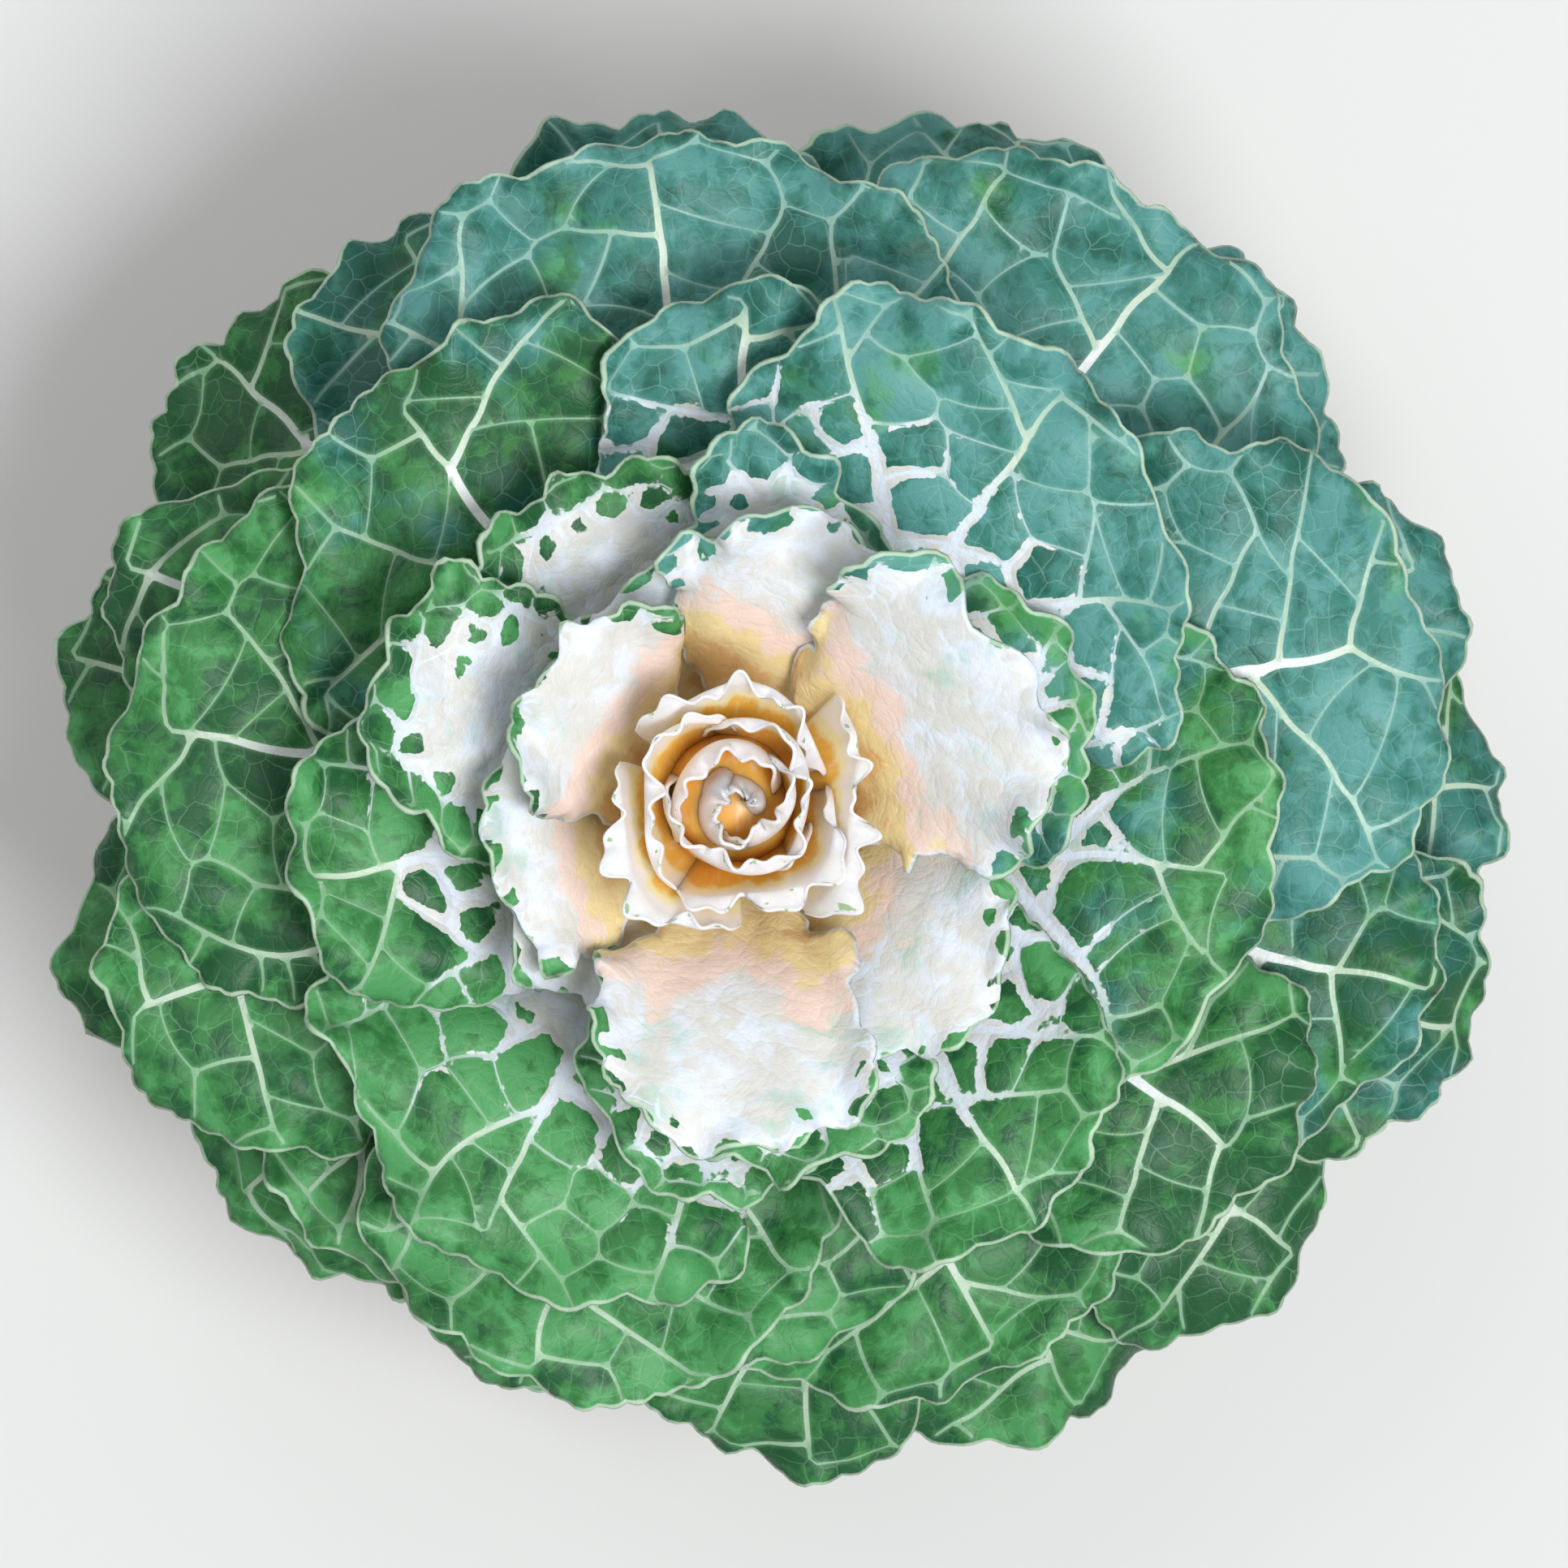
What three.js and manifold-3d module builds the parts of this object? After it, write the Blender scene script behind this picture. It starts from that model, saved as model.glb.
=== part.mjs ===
// An ornamental cabbage in a plain clay pot: a low rosette of waved green leaves round a cream heart.
// Millimetres, +Z up. The origin is the centre of the pot's underside, and +Y is the top of the plan view.
import * as THREE from 'three';
import { mergeVertices } from 'three/addons/utils/BufferGeometryUtils.js';
import Module from 'manifold-3d';

const wasm = await Module();
wasm.setup();

// Driving dimensions of the pot and the soil.
const POT_HEIGHT = 150;
const RIM_RADIUS = 90;
const RIM_BAND = 32;
const RIM_STEP = 5;
const RIM_BEVEL = 2;
const BAND_BEVEL = 1.5;
const FOOT_RADIUS = 60;
const WALL = 6.5;
const FLOOR = 8;
const POT_SIDES = 36;
const DRAIN_HOLES = 4;
const DRAIN_RADIUS = 6;
const DRAIN_CIRCLE = 34;
const SOIL_BELOW_RIM = 16;
const SOIL_LUMP = 2.4;
const SOIL_RINGS = 4;
const SEAT_GAP = 0.3;

// Driving dimensions of the stalk.
const STALK_FOOT = 70;
const STALK_RADIUS = 11;
const STALK_SIDES = 24;

// Driving dimensions of a leaf. Shares are of its length.
const BLADE = 1;
const PETIOLE_HALF = 4;
const PETIOLE_FLARE = 1.6;
const PETIOLE_SHARE = 0.124;
const RIB_HALF = 2.6;
const RIB_TIP_HALF = 0.7;
const RIB_DEPTH = 3;
const RIB_FADE = 1.3;
const BLADE_START = 0.2;
const FIRST_ROW = 0.224;
const LAST_ROW = 0.992;
const FULLEST = 0.12;
const COLUMNS = [-1, -0.52, 0, 0, 0.52, 1];
const BLADE_ROWS = 7;
const MARGIN_TURNS = [156, 13];
const MARGIN_LOBES = [{ count: 3, size: 0.06 }, { count: 5, size: 0.05 }, { count: 8, size: 0.03 }];

// Two trains of waves round the plant ruffle the leaves. A wave drifts round by one radian over its drift, in mm.
const RUFFLES = [{ count: 17, size: 1, drift: 8 }, { count: 12, size: 0.5, drift: -11 }];

// How much one leaf differs from the next.
const CUP_SPREAD = 0.02;
const ROLL_SPREAD = 0.02;
const SWAY_SPREAD = 6;
const TRAIT = { cup: 1, roll: 2, sway: 3, lobes: 6, heart: 11 };

// How closely the leaves lie: their feet to the stalk, and their blades to each other, tested on a grid in plan.
const FOOT_GAP = 0.2;
const FOOT_SLACK = 1;
const LEAF_GAP = 1.3;
const PLAN_CELL = 1.5;

// Driving dimensions of the heart. Pairs run from its innermost leaf to its outermost: the inner ones close over the
// middle, since their belly is wider than their mouth, and the outer ones stay open.
const HEART_CORE_RADIUS = 10;
const HEART_CORE_HEIGHT = 24;
const HEART_LEAVES = 11;
const HEART_ROWS = 5;
const HEART_COLUMNS = 8;
const HEART_START = 60;
const HEART_FOOT = [3, 7];
const HEART_BELLY = [8, 24.5];
const HEART_MOUTH = [0.5, 29];
const HEART_TOP = [43, 41];
const HEART_WRAP = [120, 50];
const HEART_WAVE = [0.6, 1.9];
const HEART_WAVE_RISE = 1.1;
const HEART_WAVE_TURN = 4.5;
const HEART_SINK = 2.5;
const HEART_SPIRAL = 2.2;
const HEART_SHOULDER = 13;
const HEART_CROWN = 3;
const HEART_UNEVEN = 1.5;
const HEART_DRIFT = 1.2;
const GOLDEN_ANGLE = 137.508;

// The tiers, from the lowest leaves to the ones round the heart. A leaf's azimuth is where it points in plan, from
// +X towards +Y; its reach is from the stalk's axis to its tip. The leaves of a tier rise at one slope and end at
// another, in degrees, lowest leaf first. Leaves are laid in the order of their levels, so that those at one level
// lie side by side, and each rests on the ones already there.
const TIERS = [
  {
    name: 'leaf_outer', color: 0x3f7a4c,
    rise: [17, 21], fall: [-24, -20], cup: -0.02, ruffle: 3.6,
    leaves: [
      { azimuth: 67, reach: 173, width: 106, level: 0 },
      { azimuth: 96, reach: 163, width: 96, level: 1 },
      { azimuth: 121, reach: 157, width: 86, level: 2 },
      { azimuth: 142, reach: 165, width: 88, level: 0 },
      { azimuth: 170, reach: 160, width: 84, level: 1 },
      { azimuth: 195, reach: 161, width: 72, level: 2 },
      { azimuth: 219, reach: 151, width: 108, level: 0 },
      { azimuth: 250, reach: 147, width: 92, level: 1 },
      { azimuth: 276, reach: 158, width: 82, level: 2 },
      { azimuth: 299, reach: 167, width: 92, level: 0 },
      { azimuth: 321, reach: 172, width: 92, level: 1 },
      { azimuth: 341, reach: 182, width: 86, level: 2 },
      { azimuth: 0, reach: 181, width: 84, level: 0 },
      { azimuth: 20, reach: 176, width: 84, level: 1 },
      { azimuth: 42, reach: 173, width: 92, level: 2 },
    ],
  },
  {
    name: 'leaf_middle', color: 0x47876a,
    rise: [28, 34], fall: [-8, -2], cup: 0, ruffle: 3.6,
    leaves: [
      { azimuth: 97, reach: 151, width: 134, level: 1 },
      { azimuth: 133, reach: 124, width: 104, level: 3 },
      { azimuth: 158, reach: 152, width: 68, level: 0 },
      { azimuth: 173, reach: 140, width: 116, level: 2 },
      { azimuth: 198, reach: 150, width: 92, level: 1 },
      { azimuth: 222, reach: 138, width: 84, level: 0 },
      { azimuth: 249, reach: 141, width: 100, level: 2 },
      { azimuth: 272, reach: 128, width: 76, level: 1 },
      { azimuth: 296, reach: 145, width: 106, level: 0 },
      { azimuth: 323, reach: 147, width: 94, level: 2 },
      { azimuth: 343, reach: 165, width: 94, level: 1 },
      { azimuth: 13, reach: 161, width: 122, level: 3 },
      { azimuth: 51, reach: 168, width: 128, level: 0 },
    ],
  },
  {
    name: 'leaf_inner', color: 0x4f9660,
    rise: [40, 46], fall: [2, 8], cup: 0.02, ruffle: 3.4,
    leaves: [
      { azimuth: 90, reach: 115, width: 66, level: 0 },
      { azimuth: 190, reach: 99, width: 76, level: 2 },
      { azimuth: 238, reach: 118, width: 108, level: 0 },
      { azimuth: 307, reach: 116, width: 76, level: 2 },
      { azimuth: 349, reach: 120, width: 118, level: 0 },
      { azimuth: 50, reach: 119, width: 120, level: 2 },
    ],
  },
  {
    name: 'leaf_fringed', color: 0x8fb48a,
    rise: [50, 55], fall: [9, 15], cup: 0.05, ruffle: 2.6,
    leaves: [
      { azimuth: 82, reach: 80, width: 50, level: 1 },
      { azimuth: 124, reach: 80, width: 70, level: 0 },
      { azimuth: 163, reach: 84, width: 60, level: 1 },
      { azimuth: 262, reach: 90, width: 56, level: 0 },
      { azimuth: 284, reach: 84, width: 62, level: 1 },
      { azimuth: 18, reach: 84, width: 64, level: 0 },
    ],
  },
  {
    name: 'leaf_cream', color: 0xe6e2d6,
    rise: [58, 67], fall: [8, 26], cup: 0.1, ruffle: 2.2,
    leaves: [
      { azimuth: 68, reach: 62, width: 62, level: 4 },
      { azimuth: 112, reach: 54, width: 56, level: 1 },
      { azimuth: 151, reach: 50, width: 50, level: 6 },
      { azimuth: 185, reach: 54, width: 62, level: 3 },
      { azimuth: 230, reach: 58, width: 58, level: 0 },
      { azimuth: 268, reach: 76, width: 60, level: 5 },
      { azimuth: 316, reach: 72, width: 60, level: 2 },
      { azimuth: 25, reach: 72, width: 66, level: 7 },
    ],
  },
];

const radians = THREE.MathUtils.degToRad;
const lerp = THREE.MathUtils.lerp;
const smooth = THREE.MathUtils.smoothstep;

// A repeatable number from -1 to 1 for one trait of one leaf.
function vary(seed, trait) {
  const wild = Math.sin(seed * 127.1 + trait * 311.7) * 43758.5453;
  return 2 * (wild - Math.floor(wild)) - 1;
}

// A sum of waves, each with its own phase for one leaf.
function waves(list, turn, seed, trait) {
  return list.reduce((sum, { count, size }, k) => sum + size * Math.sin(count * turn + 3 * vary(seed, trait + k)), 0);
}

// Every leaf of every tier in the order it is laid, with the form that follows from its tier and its level.
function allLeaves() {
  const leaves = [];
  for (const tier of TIERS) {
    const topLevel = Math.max(...tier.leaves.map((plan) => plan.level));
    const laid = tier.leaves.map((plan, index) => {
      const seed = leaves.length + index + 1;
      const rise = radians(lerp(...tier.rise, plan.level / topLevel));
      const fall = radians(lerp(...tier.fall, plan.level / topLevel));
      const footRadius = STALK_RADIUS + FOOT_GAP + Math.sin(rise) * (BLADE / 2);
      return {
        name: `${tier.name}_${String(index + 1).padStart(2, '0')}`,
        color: tier.color,
        level: plan.level,
        azimuth: radians(plan.azimuth),
        halfWidth: plan.width / 2,
        length: ((plan.reach - footRadius) * (fall - rise)) / (Math.sin(fall) - Math.sin(rise)),
        rise, fall, footRadius, seed,
        footZ: 0,
        cup: tier.cup + CUP_SPREAD * vary(seed, TRAIT.cup),
        roll: ROLL_SPREAD * vary(seed, TRAIT.roll),
        sway: SWAY_SPREAD * vary(seed, TRAIT.sway),
        ruffle: tier.ruffle,
      };
    });
    leaves.push(...laid.sort((a, b) => a.level - b.level));
  }
  return leaves;
}

// The ruffle depends on the place in plan alone, so that leaves which lie over each other nest.
function ruffleAt(turn, radius) {
  return RUFFLES.reduce((sum, { count, size, drift }) => sum + size * Math.sin(count * turn + radius / drift), 0);
}

// A point of the leaf's middle surface: x across and y along the flat leaf, from its foot.
function onLeaf(leaf, x, y) {
  const bend = (leaf.fall - leaf.rise) / leaf.length;
  const slope = leaf.rise + bend * y;
  const out = leaf.footRadius + (Math.sin(slope) - Math.sin(leaf.rise)) / bend;
  const up = leaf.footZ + (Math.cos(leaf.rise) - Math.cos(slope)) / bend;
  const start = BLADE_START * leaf.length;
  const halfLength = (leaf.length - start) / 2;
  const across = x / leaf.halfWidth;
  const along = (y - start - halfLength) / halfLength;
  const rim = Math.min(1.15, Math.hypot(across, along));
  const free = smooth(y, 0.6 * start, 2.2 * start);
  const ruffle = leaf.ruffle * rim ** 3 * ruffleAt(leaf.azimuth + Math.atan2(x, out), Math.hypot(x, out));
  const lift = free * (leaf.cup * leaf.halfWidth * across * across + leaf.roll * x + ruffle);
  const radial = out - Math.sin(slope) * lift;
  const side = x + leaf.sway * (y / leaf.length) ** 2;
  const height = up + Math.cos(slope) * lift;
  const c = Math.cos(leaf.azimuth);
  const s = Math.sin(leaf.azimuth);
  return new THREE.Vector3(radial * c - side * s, radial * s + side * c, height);
}

// The margin of the flat leaf at an angle from its tip, in degrees, on its +x side.
function margin(leaf, degrees, side) {
  const start = BLADE_START * leaf.length;
  const halfLength = (leaf.length - start) / 2;
  const turn = radians(degrees);
  const lobes = 1 + waves(MARGIN_LOBES, side * turn, leaf.seed, TRAIT.lobes);
  const x = leaf.halfWidth * lobes * Math.sin(turn) * (1 + FULLEST * Math.cos(turn));
  const y = start + halfLength * (1 + Math.cos(turn));
  return [x * side, y];
}

// The grid of flat points of a leaf, foot to tip, each with how far its rib hangs below it. Slack widens the petiole.
function leafGrid(leaf, slack) {
  const ribHalf = (y) => lerp(RIB_HALF, RIB_TIP_HALF, y / leaf.length);
  const ribDepth = (y) => RIB_DEPTH * (1 - y / leaf.length) ** RIB_FADE;
  const rows = [];
  const addRow = (y, edges, edgeDepth) => rows.push(COLUMNS.map((column, k) => {
    const side = k < COLUMNS.length / 2 ? -1 : 1;
    const [edgeX, edgeY] = edges(side);
    const part = Math.abs(column);
    const x = lerp(side * ribHalf(y), edgeX, part);
    return { x, y: lerp(y, edgeY, part), depth: part ? edgeDepth : ribDepth(y) };
  }));
  for (const half of [PETIOLE_HALF + slack, PETIOLE_HALF + PETIOLE_FLARE + slack]) {
    const y = rows.length * PETIOLE_SHARE * leaf.length;
    addRow(y, (side) => [side * half, y], ribDepth(y) / 3);
  }
  for (let i = 0; i <= BLADE_ROWS; i += 1) {
    const share = i / BLADE_ROWS;
    const turn = lerp(...MARGIN_TURNS, share);
    addRow(lerp(FIRST_ROW, LAST_ROW, share) * leaf.length, (side) => margin(leaf, turn, side), 0);
  }
  return rows;
}

// A closed sheet from a grid of points above and a grid below. Each cell is split along its shorter diagonal above, and
// alike below.
function closedSheet(above, below) {
  const rows = above.length;
  const columns = above[0].length;
  const points = [...above.flat(), ...below.flat()];
  const top = (i, j) => i * columns + j;
  const bottom = (i, j) => rows * columns + i * columns + j;
  const faces = [];
  const face = (a, b, c) => faces.push(a, b, c);
  const quad = (a, b, c, d) => faces.push(a, b, c, a, c, d);
  for (let i = 0; i < rows - 1; i += 1) {
    for (let j = 0; j < columns - 1; j += 1) {
      const downhill = above[i][j].distanceTo(above[i + 1][j + 1]);
      const uphill = above[i][j + 1].distanceTo(above[i + 1][j]);
      if (downhill < uphill) {
        face(top(i, j), top(i + 1, j + 1), top(i, j + 1));
        face(top(i, j), top(i + 1, j), top(i + 1, j + 1));
        face(bottom(i, j), bottom(i, j + 1), bottom(i + 1, j + 1));
        face(bottom(i, j), bottom(i + 1, j + 1), bottom(i + 1, j));
      } else {
        face(top(i, j), top(i + 1, j), top(i, j + 1));
        face(top(i, j + 1), top(i + 1, j), top(i + 1, j + 1));
        face(bottom(i, j), bottom(i, j + 1), bottom(i + 1, j));
        face(bottom(i, j + 1), bottom(i + 1, j + 1), bottom(i + 1, j));
      }
    }
    quad(top(i, 0), bottom(i, 0), bottom(i + 1, 0), top(i + 1, 0));
    quad(top(i, columns - 1), top(i + 1, columns - 1), bottom(i + 1, columns - 1), bottom(i, columns - 1));
  }
  for (let j = 0; j < columns - 1; j += 1) {
    quad(top(0, j), top(0, j + 1), bottom(0, j + 1), bottom(0, j));
    quad(top(rows - 1, j), bottom(rows - 1, j), bottom(rows - 1, j + 1), top(rows - 1, j + 1));
  }
  const geometry = new THREE.BufferGeometry().setFromPoints(points);
  geometry.setIndex(faces);
  return geometry;
}

// One leaf: petiole, rib and waved blade in one closed sheet.
function leafGeometry(leaf, slack = 0) {
  const above = [];
  const below = [];
  const step = 0.5;
  for (const row of leafGrid(leaf, slack)) {
    const upper = [];
    const lower = [];
    for (const { x, y, depth } of row) {
      const point = onLeaf(leaf, x, y);
      const along = onLeaf(leaf, x, y + step).sub(point);
      const across = onLeaf(leaf, x + step, y).sub(point);
      const normal = along.cross(across).normalize();
      upper.push(point.clone().addScaledVector(normal, BLADE / 2));
      lower.push(point.clone().addScaledVector(normal, -BLADE / 2 - depth));
    }
    above.push(upper);
    below.push(lower);
  }
  return closedSheet(above, below);
}

// A closed mesh as a solid.
function solid(geometry) {
  const bare = new THREE.BufferGeometry();
  bare.setAttribute('position', geometry.getAttribute('position').clone());
  bare.setIndex(geometry.index);
  const merged = mergeVertices(bare, 1e-3);
  return new wasm.Manifold(new wasm.Mesh({
    numProp: 3,
    vertProperties: merged.attributes.position.array,
    triVerts: new Uint32Array(merged.index.array),
  }));
}

// A solid as a mesh again.
function geometryOf(body) {
  const mesh = body.getMesh();
  const geometry = new THREE.BufferGeometry();
  geometry.setAttribute('position', new THREE.BufferAttribute(Float32Array.from(mesh.vertProperties), 3));
  geometry.setIndex(new THREE.BufferAttribute(Uint32Array.from(mesh.triVerts), 1));
  return geometry;
}

// A body turned about +Z from a closed half profile of [radius, height] points.
function turned(profile, sides) {
  const points = profile.map(([radius, height]) => new THREE.Vector2(radius, height));
  return new THREE.LatheGeometry(points, sides).rotateX(Math.PI / 2);
}

// The pot's inner wall is one straight slope.
function insideRadius(height) {
  const share = height / (POT_HEIGHT - RIM_BAND);
  return lerp(FOOT_RADIUS, RIM_RADIUS - RIM_STEP, share) - WALL;
}

function potGeometry() {
  const bandFoot = POT_HEIGHT - RIM_BAND;
  const profile = [
    [0, 0], [FOOT_RADIUS, 0],
    [RIM_RADIUS - RIM_STEP, bandFoot], [RIM_RADIUS - BAND_BEVEL, bandFoot + BAND_BEVEL],
    [RIM_RADIUS, POT_HEIGHT - RIM_BEVEL], [RIM_RADIUS - RIM_BEVEL, POT_HEIGHT],
    [insideRadius(POT_HEIGHT), POT_HEIGHT], [insideRadius(FLOOR), FLOOR], [0, FLOOR],
  ];
  let body = solid(turned(profile, POT_SIDES));
  for (let i = 0; i < DRAIN_HOLES; i += 1) {
    const turn = (2 * Math.PI * (i + 0.5)) / DRAIN_HOLES;
    const hole = new THREE.CylinderGeometry(DRAIN_RADIUS, DRAIN_RADIUS, FLOOR * 3, 12).rotateX(Math.PI / 2);
    hole.translate(DRAIN_CIRCLE * Math.cos(turn), DRAIN_CIRCLE * Math.sin(turn), FLOOR / 2);
    body = body.subtract(solid(hole));
  }
  return geometryOf(body);
}

// The potting soil: a plug that fills the pot, lumpy on top, with a plain hole for the stalk.
function soilGeometry() {
  const top = POT_HEIGHT - SOIL_BELOW_RIM;
  const holeRadius = STALK_RADIUS + SEAT_GAP;
  const sideGap = SEAT_GAP / Math.cos(Math.PI / POT_SIDES);
  const edge = insideRadius(top) - sideGap - SOIL_LUMP / 4;
  const profile = [[0, FLOOR + SEAT_GAP], [insideRadius(FLOOR) - sideGap, FLOOR + SEAT_GAP]];
  for (let i = 0; i <= SOIL_RINGS; i += 1) profile.push([lerp(edge, holeRadius, i / SOIL_RINGS), top]);
  profile.push([holeRadius, STALK_FOOT - SEAT_GAP], [0, STALK_FOOT - SEAT_GAP]);
  const geometry = turned(profile, POT_SIDES);
  const position = geometry.getAttribute('position');
  for (let i = 0; i < position.count; i += 1) {
    const x = position.getX(i);
    const y = position.getY(i);
    if (Math.abs(position.getZ(i) - top) < 0.01) {
      const lump = Math.sin(0.21 * x + 1.3) * Math.cos(0.17 * y - 0.6) + 0.7 * Math.sin(0.34 * y + 0.11 * x);
      position.setZ(i, top + SOIL_LUMP * lump);
    }
  }
  return geometry;
}

function stalkGeometry(top) {
  return turned([
    [0, STALK_FOOT], [STALK_RADIUS * 0.7, STALK_FOOT], [STALK_RADIUS, STALK_FOOT + 6],
    [STALK_RADIUS, top], [0, top],
  ], STALK_SIDES);
}

// A cubic curve from a to d that b and c pull on.
function bezier(a, b, c, d, share) {
  const rest = 1 - share;
  return a * rest ** 3 + 3 * b * share * rest ** 2 + 3 * c * share ** 2 * rest + d * share ** 3;
}

// A point of a heart leaf's middle surface: h from its foot to its lip, a from one side to the other.
function onHeartLeaf(index, h, a) {
  const age = index / (HEART_LEAVES - 1);
  const foot = lerp(...HEART_FOOT, age);
  const belly = lerp(...HEART_BELLY, age ** 0.8);
  const mouth = lerp(...HEART_MOUTH, age ** 0.85);
  const top = lerp(...HEART_TOP, age) + HEART_UNEVEN * vary(index, TRAIT.heart + 4);
  const wave = Math.sin((HEART_WAVE_TURN + vary(index, TRAIT.heart + 5)) * a + 3 * vary(index, TRAIT.heart));
  const radius = bezier(foot, lerp(foot, belly, 0.45), belly * 1.2, mouth, h)
    + h * h * (HEART_SPIRAL * a + lerp(...HEART_WAVE, age) * wave);
  const drop = HEART_SINK + HEART_SHOULDER * a ** 6 + HEART_CROWN * a * a;
  const height = HEART_SINK + bezier(0, 0.33, 0.8, 1, h) * (top - drop) + h ** 3 * HEART_WAVE_RISE * wave;
  const turn = radians(HEART_START + GOLDEN_ANGLE * index) + a * radians(lerp(...HEART_WRAP, age));
  return new THREE.Vector3(
    radius * Math.cos(turn) + HEART_DRIFT * h * h * vary(index, TRAIT.heart + 6),
    radius * Math.sin(turn) + HEART_DRIFT * h * h * vary(index, TRAIT.heart + 7),
    height,
  );
}

// A leaf of the heart: a waved sheet wrapped round the bud, its foot sunk in the core.
function heartLeaf(index) {
  const step = 0.01;
  const above = [];
  const below = [];
  for (let i = 0; i <= HEART_ROWS; i += 1) {
    const h = i / HEART_ROWS;
    const upper = [];
    const lower = [];
    for (let j = 0; j <= HEART_COLUMNS; j += 1) {
      const a = (2 * j) / HEART_COLUMNS - 1;
      const point = onHeartLeaf(index, h, a);
      const up = onHeartLeaf(index, h + step, a).sub(point);
      const aside = onHeartLeaf(index, h, a + step).sub(point);
      const inward = up.cross(aside).normalize();
      upper.push(point.clone().addScaledVector(inward, BLADE / 2));
      lower.push(point.clone().addScaledVector(inward, -BLADE / 2));
    }
    above.push(upper);
    below.push(lower);
  }
  return closedSheet(above, below);
}

// The tight rose of small leaves in the middle, grown together on a short core.
function heartGeometry() {
  const core = turned([
    [0, 0], [HEART_CORE_RADIUS * 0.9, 0], [HEART_CORE_RADIUS, HEART_CORE_HEIGHT * 0.25],
    [HEART_CORE_RADIUS * 0.7, HEART_CORE_HEIGHT * 0.7], [0, HEART_CORE_HEIGHT],
  ], STALK_SIDES / 2);
  let body = solid(core);
  for (let i = 0; i < HEART_LEAVES; i += 1) body = body.add(solid(heartLeaf(i)));
  // Pockets closed in between two leaves come out as bodies of their own, and are left out.
  const pieces = body.decompose().sort((a, b) => b.volume() - a.volume());
  return geometryOf(pieces[0]);
}

// Calls back with each cell of the plan that a geometry's faces cover, and a height of the face there.
function overPlan(geometry, visit) {
  const points = geometry.getAttribute('position');
  const index = geometry.index.array;
  const corner = [new THREE.Vector3(), new THREE.Vector3(), new THREE.Vector3()];
  for (let f = 0; f < index.length; f += 3) {
    corner.forEach((point, k) => point.fromBufferAttribute(points, index[f + k]));
    const [a, b, c] = corner;
    const area = (b.x - a.x) * (c.y - a.y) - (c.x - a.x) * (b.y - a.y);
    if (Math.abs(area) < 0.01) continue;
    const xs = [a.x, b.x, c.x];
    const ys = [a.y, b.y, c.y];
    for (let i = Math.ceil(Math.min(...xs) / PLAN_CELL); i * PLAN_CELL <= Math.max(...xs); i += 1) {
      for (let j = Math.ceil(Math.min(...ys) / PLAN_CELL); j * PLAN_CELL <= Math.max(...ys); j += 1) {
        const x = i * PLAN_CELL - a.x;
        const y = j * PLAN_CELL - a.y;
        const u = (x * (c.y - a.y) - (c.x - a.x) * y) / area;
        const v = ((b.x - a.x) * y - x * (b.y - a.y)) / area;
        if (u >= 0 && v >= 0 && u + v <= 1) visit(`${i},${j}`, a.z + u * (b.z - a.z) + v * (c.z - a.z));
      }
    }
  }
}

// How far to lift a geometry so that it lies a gap clear of the heights under it.
function restingHeight(geometry, heights, gap) {
  let lift = 0;
  overPlan(geometry, (cell, z) => {
    if (heights.has(cell)) lift = Math.max(lift, heights.get(cell) + gap - z);
  });
  return lift;
}

// Raises the heights to the top of a geometry.
function raise(heights, geometry) {
  overPlan(geometry, (cell, z) => heights.set(cell, Math.max(z, heights.get(cell) ?? 0)));
}

const plant = new THREE.Group();

function place(name, geometry, color, roughness) {
  const mesh = new THREE.Mesh(geometry, new THREE.MeshStandardMaterial({ color, roughness, metalness: 0 }));
  mesh.name = name;
  plant.add(mesh);
}

const pot = potGeometry();
const soil = soilGeometry();
const heights = new Map();
raise(heights, pot);
raise(heights, soil);
place('pot', pot, 0xb0603c, 0.85);
place('soil', soil, 0x2b211a, 0.95);

let topFoot = 0;
for (const leaf of allLeaves()) {
  leaf.footZ = restingHeight(leafGeometry(leaf, FOOT_SLACK), heights, LEAF_GAP / Math.cos(leaf.rise));
  topFoot = Math.max(topFoot, leaf.footZ);
  raise(heights, leafGeometry(leaf, FOOT_SLACK));
  place(leaf.name, leafGeometry(leaf), leaf.color, 0.5);
}

const heart = heartGeometry();
const heartBase = Math.max(topFoot + 1, restingHeight(heart, heights, 2 * LEAF_GAP));
place('stalk', stalkGeometry(heartBase - SEAT_GAP), 0xb9c79a, 0.6);
place('heart', heart.translate(0, 0, heartBase), 0xf0e2c4, 0.5);

export default plant;
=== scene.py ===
"""Dresses the frame of a potted ornamental cabbage: veined leaves, a cream heart, soil and a clay pot."""

import heapq
import math
from dataclasses import dataclass

import bmesh
import bpy
import numpy as np
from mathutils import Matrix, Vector, noise
from mathutils.geometry import delaunay_2d_cdt


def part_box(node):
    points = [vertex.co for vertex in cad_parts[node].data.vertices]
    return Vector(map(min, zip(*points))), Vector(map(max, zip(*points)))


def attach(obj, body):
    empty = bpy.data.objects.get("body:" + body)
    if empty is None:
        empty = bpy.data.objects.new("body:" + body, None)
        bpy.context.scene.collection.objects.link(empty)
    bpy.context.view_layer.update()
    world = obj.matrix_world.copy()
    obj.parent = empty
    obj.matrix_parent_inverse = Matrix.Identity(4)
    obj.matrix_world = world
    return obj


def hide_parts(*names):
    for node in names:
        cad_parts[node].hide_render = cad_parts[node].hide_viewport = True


bl_info = {
    "name": "Potted Ornamental Cabbage",
    "version": (1, 0, 0),
    "blender": (4, 5, 0),
    "location": "View3D > Sidebar > Cabbage",
    "description": "Builds veined leaves, a cream heart, soil and a clay pot round the cabbage's frame",
    "category": "Add Mesh",
}

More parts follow.
